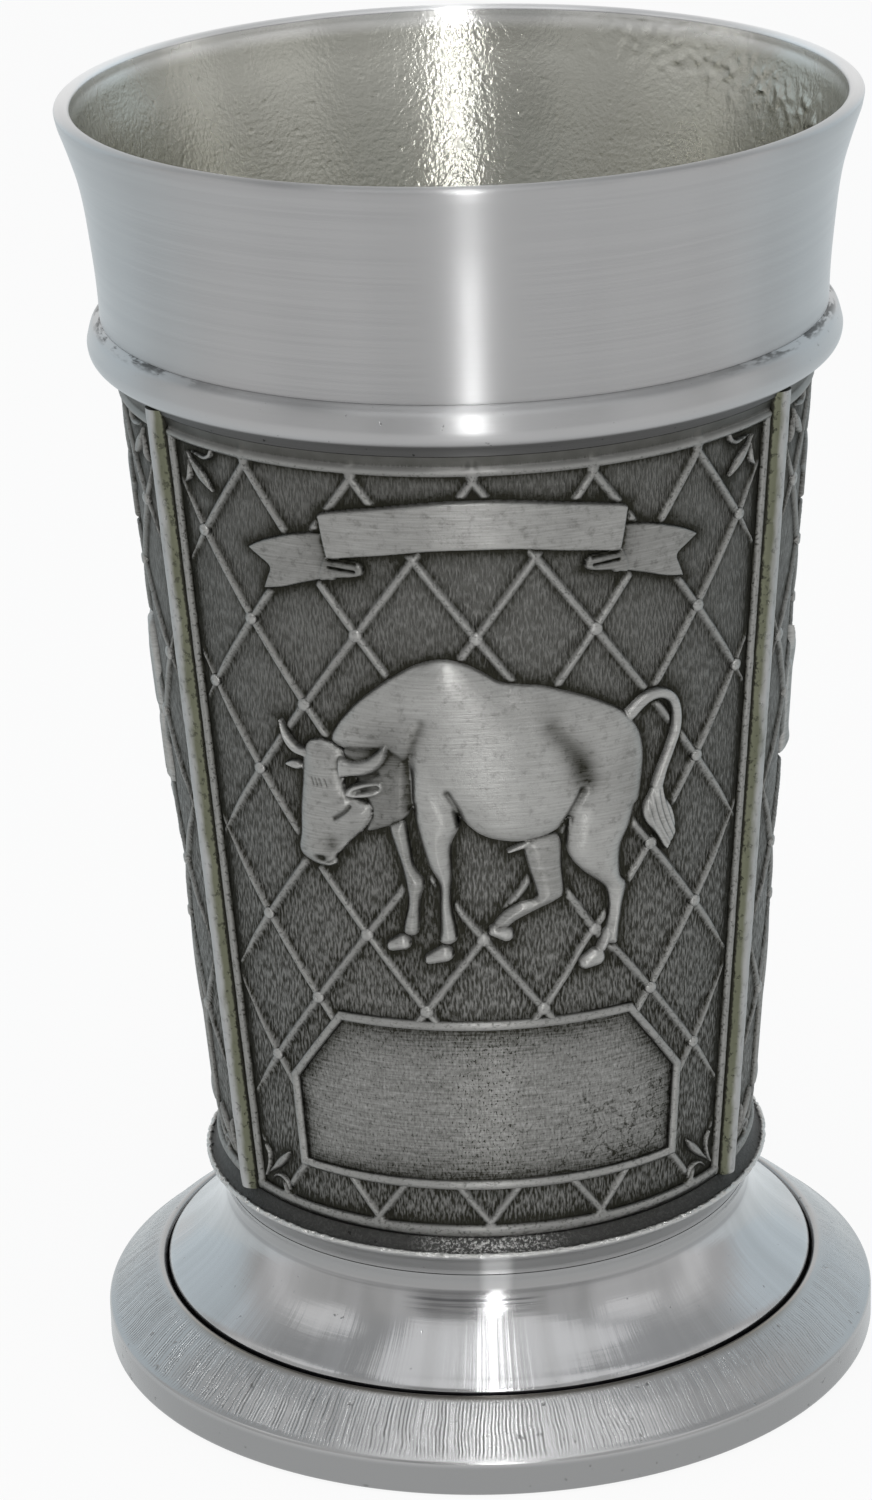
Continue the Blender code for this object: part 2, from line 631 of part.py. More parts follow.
def relief_panels(material):
    mesh = relief_panel_mesh()
    for i, side in enumerate(("front", "right", "left")):
        panel = add_part(f"relief_panel_{side}", mesh, material)
        panel.rotation_euler.z = i * 2 * HALF_TURN


def seam_ribs(material):
    """Half-round bar over each seam, between the panels' edges and clear of the cup's wall."""
    half = RIB_WIDTH / 2
    side_height = RIB_PROUD - half
    section = [(-PANEL_BACK, -half), (side_height, -half)]
    section += [(side_height + half * math.sin(a), -half * math.cos(a))
                for a in (math.pi * i / 8 for i in range(1, 8))]
    section += [(side_height, half), (-PANEL_BACK, half)]

    def place(share, h, along):
        z = PANEL_BASE + PANEL_HEIGHT * (share + 1) / 2
        return (along, -cone(z) - h, z)

    mesh = finished(prism(section, place), "seam_rib")
    for i, side in enumerate(("right", "back", "left")):
        rib = add_part(f"seam_rib_{side}", mesh, material)
        rib.rotation_euler.z = (2 * i + 1) * HALF_TURN


for leftover in list(bpy.data.objects):
    bpy.data.objects.remove(leftover)
beaker = bpy.data.collections.new("pewter_beaker")
pattern = bpy.data.collections.new("panel_pattern")
bpy.context.scene.collection.children.link(beaker)
bpy.context.scene.collection.children.link(pattern)

bright = make_material("bright_pewter", (0.55, 0.56, 0.57), 0.28)
brushed = make_material("brushed_pewter", (0.50, 0.51, 0.52), 0.36)
dull = make_material("dull_pewter", (0.32, 0.32, 0.29), 0.50)
dark = make_material("darkened_pewter", (0.24, 0.24, 0.23), 0.45)

drinking_cup(brushed)
cup_floor(dull)
upper_bead_ring(bright)
relief_panels(dark)
seam_ribs(dull)
lower_bead_ring(bright)
foot_neck(bright)
foot_ring(brushed)
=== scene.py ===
# %% [markdown]
# # A pewter relief beaker
# The real beaker is put together from cast and turned pewter: a thin cup with a flared collar, three cast
# panels round it with a bull on a lattice, ribs over the seams, a bead above and below, and a turned foot.
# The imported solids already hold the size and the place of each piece. This lesson dresses them: every solid
# gets a finely made twin that stands for it, and every twin gets a metal of its own.

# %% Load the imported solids
import math

import bpy
import numpy as np
from mathutils import Matrix, Vector, noise


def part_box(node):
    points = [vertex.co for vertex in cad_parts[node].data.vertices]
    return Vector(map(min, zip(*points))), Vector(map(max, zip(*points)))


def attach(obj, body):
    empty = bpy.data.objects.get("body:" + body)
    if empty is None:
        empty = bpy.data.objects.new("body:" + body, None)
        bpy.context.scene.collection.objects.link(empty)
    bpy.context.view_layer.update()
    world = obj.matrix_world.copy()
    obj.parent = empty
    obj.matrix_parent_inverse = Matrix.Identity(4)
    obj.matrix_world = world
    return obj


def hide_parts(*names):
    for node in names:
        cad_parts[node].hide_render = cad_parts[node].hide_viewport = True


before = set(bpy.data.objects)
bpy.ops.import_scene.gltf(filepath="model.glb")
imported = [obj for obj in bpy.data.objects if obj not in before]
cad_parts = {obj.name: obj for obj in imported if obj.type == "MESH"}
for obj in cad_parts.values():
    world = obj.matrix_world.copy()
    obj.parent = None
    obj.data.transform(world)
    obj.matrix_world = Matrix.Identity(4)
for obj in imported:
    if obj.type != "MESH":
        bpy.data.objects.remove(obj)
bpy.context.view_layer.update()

print("solids:", sorted(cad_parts))

# %% [markdown]
# ## Measures
# All heights come from the solids, so a twin always sits where its solid sits. They are kept in
# millimetres, because a relief of half a millimetre is easier to read as 0.5. Only the last step of each
# mesh goes to metres.

# %% Heights and radii of the stack, in millimetres
MM = 0.001


def level(node, end):
    """Lowest (0) or highest (1) level of a solid."""
    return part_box(node)[end].z / MM


ring_top = level("foot_ring", 1)
neck_top = level("foot_neck", 1)
low_bead_base, low_bead_top = level("lower_bead_ring", 0), level("lower_bead_ring", 1)
panel_base, panel_top = level("relief_panel_front", 0), level("relief_panel_front", 1)
bead_base, bead_top = level("upper_bead_ring", 0), level("upper_bead_ring", 1)
floor_base, floor_top = level("cup_floor", 0), level("cup_floor", 1)
lip_top = level("drinking_cup", 1)
foot_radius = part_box("foot_ring")[1].x / MM
gap = bead_base - panel_top
shoulder = bead_top + gap
print(f"foot radius {foot_radius:.1f}, lip at {lip_top:.1f}, gap {gap:.2f}")
print(f"panels from {panel_base:.1f} to {panel_top:.1f}")


# %% [markdown]
# The panels lie on a cone. Its radius at any height places everything that is drawn flat and then rolled
# on.

# %% The panels' cone
FOOT_OF_CONE, HEAD_OF_CONE = 26.6, 32.3
GROUND_DEPTH, FULLNESS, FULL_FROM = 0.42, 0.005, 45


def cone(z):
    return FOOT_OF_CONE + (HEAD_OF_CONE - FOOT_OF_CONE) * (z - panel_base) / (panel_top - panel_base)


def field_radius(z):
    """Radius of the panels' ground: a little inside the cone, and fuller towards the head."""
    return cone(z) - GROUND_DEPTH + FULLNESS * (z - FULL_FROM)


print(f"cone radius at mid height {cone((panel_base + panel_top) / 2):.2f} mm")

# %% [markdown]
# ## Curves
# A turner's profile and a drawn outline are both a few points with a smooth line through them. A
# Catmull-Rom curve passes through every point, so the points are simply places measured on the object.


# %% A smooth line through points
def smooth_line(points, steps=6, closed=False):
    """Points on a Catmull-Rom curve through the given points."""
    points = [np.array(p, float) for p in points]
    count = len(points)
    line = []
    for i in range(count if closed else count - 1):
        if closed:
            a, b, c, d = (points[(i + k) % count] for k in (-1, 0, 1, 2))
        else:
            b, c = points[i], points[i + 1]
            a = points[i - 1] if i else 2 * b - c
            d = points[i + 2] if i + 2 < count else 2 * c - b
        for t in np.arange(steps) / steps:
            line.append(0.5 * (2 * b + (c - a) * t + (2 * a - 5 * b + 4 * c - d) * t ** 2
                               + (3 * b - a - 3 * c + d) * t ** 3))
    if not closed:
        line.append(points[-1])
    return [tuple(p) for p in line]


def round_edge(centre, radius, start, end, steps):
    """Points of a round edge, in degrees from the outward direction."""
    turns = [math.radians(start + (end - start) * i / steps) for i in range(steps + 1)]
    return [(centre[0] + radius * math.cos(a), centre[1] + radius * math.sin(a)) for a in turns]


print("a smooth quarter:", len(smooth_line([(0, 0), (1, 0.2), (1.2, 1)])), "points")

# %% [markdown]
# ## Turned pieces
# On the lathe one profile makes the whole piece. A Screw modifier would do, but the cup's inside needs cast
# unevenness that changes round the turn, so the rings of points are written straight into a mesh and may be
# moved before the faces are made. Each face remembers which finish it has: 0 for the first, 1 for the
# second.


# %% Turn a profile into a mesh
def add_mesh(name, points, faces, sharp=40):
    mesh = bpy.data.meshes.new(name)
    mesh.from_pydata(points, [], faces)
    mesh.validate()
    mesh.shade_smooth()
    mesh.set_sharp_from_angle(angle=math.radians(sharp))
    piece = bpy.data.objects.new(name, mesh)
    bpy.context.scene.collection.objects.link(piece)
    return piece


def turned(name, profile, facets=320, push=None, second_finish=None):
    """Turn a closed (radius, height) profile. push(radius, angle, height) moves a point in or out;
    second_finish is the range of profile points whose faces take the second finish."""
    count = len(profile)
    angles = np.arange(facets) * 2 * math.pi / facets
    radii = np.array([p[0] for p in profile])[:, None] + np.zeros(facets)
    heights = np.array([p[1] for p in profile])[:, None] + np.zeros(facets)
    if push:
        radii = radii + push(radii, angles[None, :] + 0 * radii, heights)
    points = np.stack([radii * np.sin(angles), -radii * np.cos(angles), heights], -1).reshape(-1, 3) * MM
    faces = []
    finish = []
    for i in range(count):
        below = (i + 1) % count
        for j in range(facets):
            beside = (j + 1) % facets
            faces.append((i * facets + j, below * facets + j, below * facets + beside, i * facets + beside))
            finish.append(1 if second_finish and second_finish[0] <= i < second_finish[1] else 0)
    piece = add_mesh(name, points.tolist(), faces)
    piece.data.polygons.foreach_set("material_index", finish)
    return piece


def stand_for(piece, node):
    """The piece rides on the one body and hides its solid."""
    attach(piece, "root")
    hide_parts(node)
    print(f"{piece.name}: {len(piece.data.polygons)} faces, stands for {node}")


print("lathe ready")


# %% [markdown]
# Cast pewter is never quite even. Blender's own noise gives a smooth random field that is the same on each
# run.

# %% Unevenness
def uneven(x, y, z, pitch, octaves=3):
    """Smooth noise of about -1 to 1 at points in millimetres, with features about pitch wide."""
    flat = zip(np.ravel(x) / pitch, np.ravel(y) / pitch, np.ravel(z) / pitch)
    values = [noise.fractal(Vector(p), 1.0, 2.0, octaves, noise_basis="PERLIN_ORIGINAL") for p in flat]
    return np.array(values).reshape(np.shape(x))


def ease(low, high, value):
    """0 below low, 1 above high, smooth between."""
    t = np.clip((value - low) / (high - low), 0, 1)
    return t * t * (3 - 2 * t)


sample = uneven(np.array([0.3]), np.array([0.2]), np.array([0.1]), 1)
print("noise beside the origin:", round(float(sample[0]), 3))

# %% [markdown]
# ### The cup
# The collar is turned smooth outside and flares to a rounded lip. Inside, only the lip's band was turned.
# Below it the wall is as it came from the mould, and at the back right the metal ran and froze in ripples.
# The profile runs down the outside, round the foot of the thin wall and up the inside.

# %% Profile of the cup
WALL_OUTSIDE, WALL_INSIDE = 1.9, 3.0
collar_outside = [(37.08, 124.3), (36.9, 123.5), (36.45, 122.2), (35.9, 120.5), (35.3, 118.4),
                  (34.85, 116.0), (34.5, 113.2), (34.15, 109.8), (33.98, 107.4), (33.9, bead_top + 0.25),
                  (33.84, bead_top + 0.03)]
lip = [(36.4 + 0.72 * r, lip_top - 0.42 + 0.42 * h) for r, h in round_edge((0, 0), 1, 180, 0, 10)]
under_collar = [(cone(shoulder) - WALL_OUTSIDE, bead_top + 0.03)]
wall_foot = [(cone(floor_top) - inset, floor_top + gap) for inset in (WALL_OUTSIDE, WALL_INSIDE)]
wall_inside = [(cone(z) - WALL_INSIDE, z) for z in np.linspace(floor_top + 2, 100, 24)]
collar_inside = smooth_line([(29.45, 102.0), (30.0, 104.4), (30.75, 107.0), (31.55, 110.0), (32.35, 113.0),
                             (33.15, 116.0), (34.0, 118.9), (34.85, 121.4), (35.5, 123.6), (35.66, 124.4)], 9)
cup_profile = lip + smooth_line(collar_outside, 4) + under_collar + wall_foot + wall_inside + collar_inside
inside_start = len(cup_profile) - len(wall_inside) - len(collar_inside)
print("cup profile:", len(cup_profile), "points, inside from", inside_start)

# %% [markdown]
# The mould left the inside rough. A Displace modifier with a texture could make it so, but the frozen
# ripples lie in one place only, so a function says how far each point of the inside moves.


# %% Cast inside of the cup
def cast_inside(radius, angle, height):
    """How far the inside moves: a rough cast wall, and ripples of frozen metal at the back right."""
    x, y = radius * np.sin(angle), -radius * np.cos(angle)
    row = np.arange(radius.shape[0])[:, None] + np.zeros_like(radius)
    inner = (row > inside_start) & (height > 60)
    move = np.zeros_like(radius)
    spots = np.nonzero(inner)
    px, py, pz = x[spots], y[spots], height[spots]
    cast = 0.010 * uneven(px, py, pz * 0.4, 2.2, 3)
    warp = 1.4 * uneven(px, py, pz, 5.0, 2)
    ripple = np.maximum(0, uneven(px + warp, py - warp, pz * 1.2 + warp, 1.1, 3) + 0.05) ** 0.8
    side = np.degrees(np.arctan2(px, py))
    middle = 122.0 - 3.0 * ease(25, 80, side)
    where = ease(10, 40, side) * ease(98, 80, side) * np.exp(-((pz - middle) / 2.2) ** 2)
    move[spots] = cast - 0.26 * ripple * where
    return move


cup = turned("cup", cup_profile, 640, cast_inside, (inside_start, len(cup_profile)))
stand_for(cup, "drinking_cup")

# %% [markdown]
# ### Upper bead
# A half-round ring closes the panels at their head, and the collar sits on it. Its upper side is softer
# than its lower one, so its section is drawn point by point and isn't an arc.

# %% Upper bead
bead_middle = (bead_base + bead_top) / 2
bead_crown = smooth_line([(33.9, bead_top), (34.2, bead_top - 0.22), (34.75, bead_top - 0.75),
                          (35.1, bead_middle + 0.55), (35.18, bead_middle + 0.0),
                          (35.03, bead_middle - 0.65), (34.65, bead_middle - 1.15),
                          (34.05, bead_middle - 1.5), (33.35, bead_middle - 1.72),
                          (32.9, bead_base + 0.22), (32.75, bead_base - 0.22)], 6)
upper_bead = turned("upper_bead", bead_crown
                    + [(cone(bead_base) - 1.6, bead_base - 0.22), (cone(bead_top) - 1.6, bead_top)])
stand_for(upper_bead, "upper_bead_ring")

# %% [markdown]
# ### Lower bead
# This ring carries the panels. A thin edge stands up on it like a crest, and years of use have nicked it.
# The nicks are smooth noise that only counts close to the crest, so more facets are spent on this ring than
# on the others.

# %% Lower bead
crest_level = low_bead_top - 0.74
low_crown = [(25.0, low_bead_top + 0.25), (26.15, low_bead_top + 0.22)]
low_crown += smooth_line([(26.4, low_bead_top - 0.08), (26.75, low_bead_top - 0.58),
                          (27.05, low_bead_top - 0.84), (27.3, low_bead_top - 0.86), (27.58, crest_level),
                          (27.76, low_bead_top - 0.9), (27.72, low_bead_top - 1.15),
                          (27.4, low_bead_top - 1.4), (26.9, low_bead_top - 1.68),
                          (26.5, low_bead_top - 2.1), (26.22, low_bead_top - 2.7),
                          (26.0, low_bead_base + 0.4), (25.93, low_bead_base + 0.12),
                          (25.91, low_bead_base - 0.12)], 5)


def crumbled(radius, angle, height):
    """The sharp edge of the lower bead is nicked all round."""
    near = np.exp(-((height - crest_level + 0.1) / 0.25) ** 2) * (radius > 27.3)
    nicks = uneven(radius * np.sin(angle), radius * np.cos(angle), height, 0.5, 3)
    return -0.36 * near * np.clip(nicks + 0.15, 0, 1)


lower_bead = turned("lower_bead", low_crown + [(25.0, low_bead_base - 0.12)], 900, crumbled)
stand_for(lower_bead, "lower_bead_ring")

# %% [markdown]
# ### Neck
# The neck is a hollow trumpet: one profile runs down its outside and up its inside. It is narrowest just
# under the bead, and its foot stands in a seat of the foot ring.

# %% Neck
neck_outside = smooth_line([(25.92, neck_top + 0.1), (25.85, 15.6), (26.2, 14.3), (26.9, 12.8),
                            (28.0, 11.3), (29.3, 10.0), (30.7, 8.9), (31.6, 8.25), (32.0, 7.75),
                            (32.05, 7.2)], 6)
neck_inside = smooth_line([(29.9, 3.0), (29.9, 5.4), (28.6, 7.2), (26.6, 9.4), (25.0, 11.6), (24.1, 14.5)], 5)
neck_profile = neck_outside + [(32.1, 3.0)] + neck_inside + [(18.8, 14.5), (18.8, neck_top + 0.1)]
neck = turned("foot_trumpet", neck_profile)
stand_for(neck, "foot_neck")

# %% [markdown]
# ### Foot ring
# A broad ring with a sloping top, a small round over its upright edge, and a flat underside to stand on. A
# narrow groove is left beside the neck, where the two were soldered.

# %% Turn the foot ring
ring_slope = smooth_line([(32.32, ring_top - 0.45), (32.66, ring_top - 0.12), (33.3, ring_top - 0.3),
                          (35.0, 6.2), (36.6, 4.75), (37.6, 3.85)], 6)
ring_edge = round_edge((37.55, 3.15), 0.65, 50, 0, 6) + [(foot_radius, 1.8), (foot_radius, 0.5)]
ring_under = round_edge((foot_radius - 0.4, 0.4), 0.4, 0, -90, 4)
ring_profile = ring_slope + ring_edge + ring_under + [(30.3, 0.0), (29.9, 0.4), (29.9, 2.7), (32.3, 2.7),
                                                      (32.3, 6.8)]
ring = turned("foot_rim", ring_profile)
stand_for(ring, "foot_ring")

# %% [markdown]
# ### Floor of the cup
# A cast disc closes the cup from below. It is a little higher in the middle, as such discs are.

# %% Floor of the cup
floor_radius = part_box("cup_floor")[1].x / MM
floor_crown = [(0.02, floor_top)] + [(r, floor_top - 0.12 * ease(4, 22, r)) for r in np.linspace(1, 23, 24)]
floor_profile = floor_crown + [(floor_radius, floor_top - 0.2), (floor_radius, floor_base + 0.2),
                               (floor_radius - 0.3, floor_base), (12.0, floor_base), (0.02, floor_base)]
cup_base = turned("cup_base", floor_profile, 160)
stand_for(cup_base, "cup_floor")

# %% [markdown]
# ## The relief panel
# The panel is drawn flat in millimetres: u runs along it to the right, z up. A height field then says how
# far the metal stands above the panel's ground at each grid point. Sculpting would do as well, but a
# drawing of named lines can be held against a photograph and corrected line by line.

# %% A drawing sheet
class Sheet:
    """Places on the flat panel in millimetres, and the tools that draw on them."""

    def __init__(self, u, z, step_u, step_z):
        self.u, self.z = u, z
        self.step_u, self.step_z = step_u, step_z

    def near(self, line):
        """Grid places round a line of points, and the distance beyond which a place counts as far."""
        us, zs = [p[0] for p in line], [p[1] for p in line]
        u, z, far = self.u, self.z, 4.0
        beside = (u > min(us) - far) & (u < max(us) + far)
        level_with = (z > min(zs) - far) & (z < max(zs) + far)
        return np.nonzero(beside & level_with), far

    def inside(self, outline, steps=5):
        """Distance inside a smooth closed outline; negative outside."""
        line = smooth_line(outline, steps, True)
        spots, far = self.near(line)
        u, z = self.u[spots], self.z[spots]
        least, within = np.full(u.shape, far), np.zeros(u.shape, bool)
        for a, b in zip(line, line[1:] + line[:1]):
            least = np.minimum(least, to_segment(u, z, a, b)[0])
            if a[1] != b[1]:
                crosses = (z < a[1]) != (z < b[1])
                within ^= crosses & (u < a[0] + (z - a[1]) * (b[0] - a[0]) / (b[1] - a[1]))
        depth = np.full(self.u.shape, -far)
        depth[spots] = np.where(within, least, -least)
        return depth

    def rod(self, points, steps=4):
        """Distance inside a tapered rod through (u, z, radius) points; negative outside."""
        line = smooth_line(points, steps)
        spots, far = self.near(line)
        u, z = self.u[spots], self.z[spots]
        depth = np.full(self.u.shape, -far)
        for a, b in zip(line, line[1:]):
            away, t = to_segment(u, z, a, b)
            depth[spots] = np.maximum(depth[spots], a[2] + (b[2] - a[2]) * t - away)
        return depth

    def crease(self, points, width):
        """1 on a line through points, falling off to 0 at about its width."""
        return np.exp(-(self.rod([(u, z, 0) for u, z in points]) / width) ** 2)

    def spot(self, u, z, width, height=None):
        return np.exp(-((self.u - u) / width) ** 2 - ((self.z - z) / (height or width)) ** 2)

    def spread(self, field, reach):
        """Average of a field over a neighbourhood, by running means along rows and columns."""
        for axis, step in ((0, self.step_z), (1, self.step_u)):
            half, size = max(1, int(round(reach / step))), field.shape[axis]
            window = 2 * half + 1
            padded = np.concatenate([np.repeat(field.take([0], axis), half + 1, axis), field,
                                     np.repeat(field.take([-1], axis), half, axis)], axis)
            total = np.cumsum(padded, axis)
            field = (total.take(range(window, window + size), axis) - total.take(range(size), axis)) / window
        return field


def to_segment(u, z, a, b):
    """Distance to a straight segment, and the share of its length at the nearest point."""
    du, dz = b[0] - a[0], b[1] - a[1]
    t = np.clip(((u - a[0]) * du + (z - a[1]) * dz) / max(du * du + dz * dz, 1e-9), 0, 1)
    return np.hypot(u - a[0] - t * du, z - a[1] - t * dz), t


print("drawing tools ready")

# %% [markdown]
# A distance becomes a height here. A quarter circle gives the round shoulder of a casting, and a fillet
# joins two swells as a chaser's tool would. What is the same on both sides is drawn once and mirrored.


# %% Rounded heights
def swell(depth, reach, soft=0.5):
    """Rounded height of 0 to 1 from the edge to reach inside it: a quarter circle, or flatter when softer.
    Below 0 outside the edge, so that a figure sinks into the ground there."""
    rounded = np.clip(1 - (1 - np.clip(depth / reach, 0, 1)) ** 2, 0, 1) ** soft
    return np.where(depth > 0, rounded, 2.5 * depth)


def melt(a, b, k):
    """The higher of two heights, with a fillet of about k between them."""
    h = np.clip(0.5 + 0.5 * (a - b) / k, 0, 1)
    return b + (a - b) * h + k * h * (1 - h)


def mirrored(points):
    return [(-p[0],) + tuple(p[1:]) for p in points]


print("half way in, a swell stands at", round(float(swell(np.array(0.5), 1)), 2))

# %% [markdown]
# ### The bull
# A bull with a lowered head, the old zodiac sign. Each limb is an outline with its own swell. Limbs on the
# near side stand higher than the far ones, and fillets melt the muscles together where a chaser would have
# rounded them. Creases are pressed in afterwards.

# %% Outlines of trunk and legs
bull_outlines = {
    "trunk": [(-13.8, 72.6), (-12, 75.5), (-9.5, 77.8), (-7, 79.6), (-5, 80.6), (-3, 80.95), (-1, 80.5),
              (0.8, 79.5), (2, 78.7), (4, 78.3), (6, 78), (8, 77.3), (10, 76.5), (12, 75.5), (13.6, 74.5),
              (14.9, 73), (15.5, 71.5), (15.7, 69.5), (15.4, 67), (14.8, 65), (11.5, 64.5), (8.3, 64.7),
              (7, 63.7), (5.5, 63.1), (3.5, 62.8), (1.5, 63.1), (0, 63.7), (-1, 64.5), (-2.5, 66),
              (-4.5, 66.5), (-6.3, 67), (-6.5, 70), (-8.5, 71.6), (-11.5, 71.5)],
    "dewlap": [(-12.8, 71.5), (-9, 72.5), (-6, 72), (-5.5, 68), (-6.4, 65.9), (-7.5, 64.8), (-9, 64.1),
               (-10.6, 63.7), (-10.2, 65.5), (-10.5, 67)],
    "near_fore": [(-6.1, 72), (-6.25, 68), (-6.05, 65.5), (-5.55, 63), (-4.85, 60.5), (-4.0, 58.8),
                  (-4.0, 56.5), (-4.0, 54.2), (-4.1, 52.9), (-3.2, 52.5), (-2.4, 53.1), (-2.45, 54.3),
                  (-2.8, 56.2), (-2.85, 58.2), (-2.7, 60.2), (-2.7, 62.8), (-1.85, 64.7), (-2.1, 66.3),
                  (-2.9, 68.4), (-3.6, 71.5)],
    "near_hind": [(11, 71), (9.4, 68.2), (8.4, 66), (8.1, 64.2), (7.85, 62), (8.35, 60.5), (9.55, 59),
                  (10.75, 58), (11.7, 57), (12, 55.6), (11.9, 54), (11.5, 52.2), (11.6, 51.3),
                  (12.8, 51.1), (13.1, 53), (13.45, 55.2), (13.85, 57.1), (13.25, 58.3), (13.3, 61),
                  (14.2, 63), (14.85, 65.2), (15.4, 67), (15.1, 70), (13.5, 71.8)],
    "far_fore": [(-8.4, 64.4), (-7, 64.9), (-6.6, 63), (-6.2, 60.4), (-5.3, 58.9), (-5.75, 57),
                 (-6.05, 53.6), (-7.45, 53.7), (-6.95, 56.5), (-7.05, 58.5), (-7.45, 60.6), (-8.0, 62.5)],
    "far_hind": [(3.9, 62.6), (5.5, 63.2), (7.3, 63), (7.45, 60), (7.6, 57.3), (6.9, 56.5), (5, 55.7),
                 (3.1, 54.8), (2.0, 54.0), (0.8, 54.3), (1.9, 55.7), (3.4, 56.6), (5, 57.1), (4.4, 59.8)]}
hoof_rods = {
    "near_fore_hoof": [(-5.0, 51.0, 0.55), (-3.6, 51.6, 0.85)],
    "near_hind_hoof": [(9.6, 49.7, 0.7), (10.6, 50.1, 0.95)],
    "near_hind_heel": [(11.2, 51.0, 0.5), (11.8, 52.3, 0.55)],
    "far_fore_hoof": [(-8.5, 52.2, 0.6), (-7.5, 52.6, 0.8)],
    "far_hind_hoof": [(1.0, 53.9, 0.6), (2.1, 53.5, 0.75)]}
print("trunk and legs:", len(bull_outlines), "outlines,", len(hoof_rods), "hoof rods")

# %% [markdown]
# The head is seen half from the side, with the near horn and ear over the neck. The far horn and the tail
# taper, so they are rods: a line with a radius at each point is easier to draw than two edges.

# %% Outlines of head and tail
bull_outlines["head"] = [
    (-16.6, 71.4), (-15.2, 72.3), (-13.4, 72), (-12.4, 71.1), (-12.7, 69.6), (-12.5, 67.6), (-11.4, 66.8),
    (-10.1, 66.3), (-9.9, 65.5), (-10.3, 64.6), (-11, 63.6), (-12, 62.7), (-13, 61.5), (-13.7, 60.7),
    (-13.8, 59.9), (-14.6, 59.5), (-16, 59.6), (-17.3, 60.2), (-17.7, 61.1), (-17.45, 62.6), (-17.35, 65),
    (-17.0, 68)]
bull_outlines["near_ear"] = [(-12.5, 67.5), (-11.6, 68.3), (-10.4, 68.8), (-9.0, 69.0), (-8.6, 68.7),
                             (-8.7, 68.1), (-9.4, 67.4), (-10.8, 67.05), (-12.0, 67.0)]
bull_outlines["far_ear"] = [(-16.7, 69.3), (-17.4, 69.8), (-18.4, 69.6), (-18.8, 69.2), (-18, 68.9),
                            (-17.2, 68.9)]
bull_outlines["near_horn"] = [(-12.9, 71.0), (-11.5, 70.85), (-10.3, 71.15), (-9.4, 71.85), (-8.7, 72.6),
                              (-8.3, 72.95), (-8.0, 72.4), (-8.3, 71.2), (-9.1, 70.15), (-10.2, 69.5),
                              (-11.5, 69.2), (-12.9, 69.1)]
bull_outlines["tuft"] = [(17.0, 66.8), (16.2, 65.4), (15.6, 64.2), (15.9, 62.8), (17.2, 61), (18.2, 59.4),
                         (18.8, 60.1), (19.3, 60.9), (19.25, 62.1), (18.9, 63.5), (18.1, 65), (17.7, 66.6)]
bull_rods = dict(hoof_rods)
bull_rods["far_horn"] = [(-16.4, 70.7, 0.46), (-17.6, 71, 0.44), (-18.5, 71.95, 0.36), (-19.1, 73.5, 0.14)]
bull_rods["tail"] = [(14.3, 74.0, 0.66), (15.8, 75.1, 0.60), (17.3, 75.4, 0.56), (18.7, 74.8, 0.56),
                     (19.4, 73.4, 0.54), (19.4, 71.5, 0.52), (18.7, 69.7, 0.52), (17.8, 67.8, 0.56),
                     (17.2, 66.2, 0.66)]
bull_rods["sheath"] = [(2.5, 61.9, 0.22), (4.4, 62.6, 0.4)]


def bull_depths(sheet):
    """Distance inside every part of the bull."""
    depths = {name: sheet.inside(outline) for name, outline in bull_outlines.items()}
    depths.update({name: sheet.rod(points) for name, points in bull_rods.items()})
    return depths


print("the bull has", len(bull_outlines) + len(bull_rods), "parts")

# %% [markdown]
# The bull is worked out on a fine sheet of its own, a tenth of a millimetre to the cell, so that its edges
# stay crisp. First the plain swells, then what lies on top of what.

# %% Swells of the bull
FINEST = 0.1


def fine_sheet(u0, u1, z0, z1):
    u, z = np.meshgrid(np.arange(u0, u1, FINEST), np.arange(z1, z0, -FINEST))
    return Sheet(u, z, FINEST, FINEST)


pasture = fine_sheet(-19.6, 20.4, 48.3, 81.7)
part = bull_depths(pasture)
spot, crease = pasture.spot, pasture.crease
body = 1.62 * swell(part["trunk"], 3.4)
body += (part["trunk"] > 0) * (0.38 * spot(1.5, 68.5, 6, 5) + 0.28 * spot(-3, 76.5, 4.5, 4)
                               + 0.18 * spot(11, 72, 3.5))
body = melt(body, 0.85 * swell(part["dewlap"], 1.6), 0.15)
legs = np.maximum(1.6 * swell(part["near_fore"], 1.9, 0.62), 1.55 * swell(part["near_hind"], 2.5, 0.62))
far = np.maximum(0.9 * swell(part["far_fore"], 1.0, 0.6), 0.9 * swell(part["far_hind"], 1.4, 0.6))
hooves = np.maximum.reduce([1.05 * swell(part[name], 0.8) for name in hoof_rods])
across_tuft = pasture.u - 17.3 + 0.35 * (pasture.z - 63) - 0.05 * (pasture.z - 63) ** 2
strands = 0.5 + 0.5 * np.cos(across_tuft * 2 * math.pi / 0.62)
hair = 0.95 * swell(part["tuft"], 0.9) - 0.22 * strands * ease(0, 0.5, part["tuft"])
rest = np.maximum.reduce([far, hooves, 0.8 * swell(part["tail"], 0.55), hair,
                          0.7 * swell(part["sheath"], 0.3)])
print("trunk up to", round(float(body.max()), 2), "mm, near legs", round(float(legs.max()), 2), "mm")

# %% [markdown]
# Trunk and near legs melt together first. Then the folds of the skin are pressed in: behind the elbow,
# before the thigh, along the shoulder and over the flank. The tail and the far legs lie lower and come
# last.

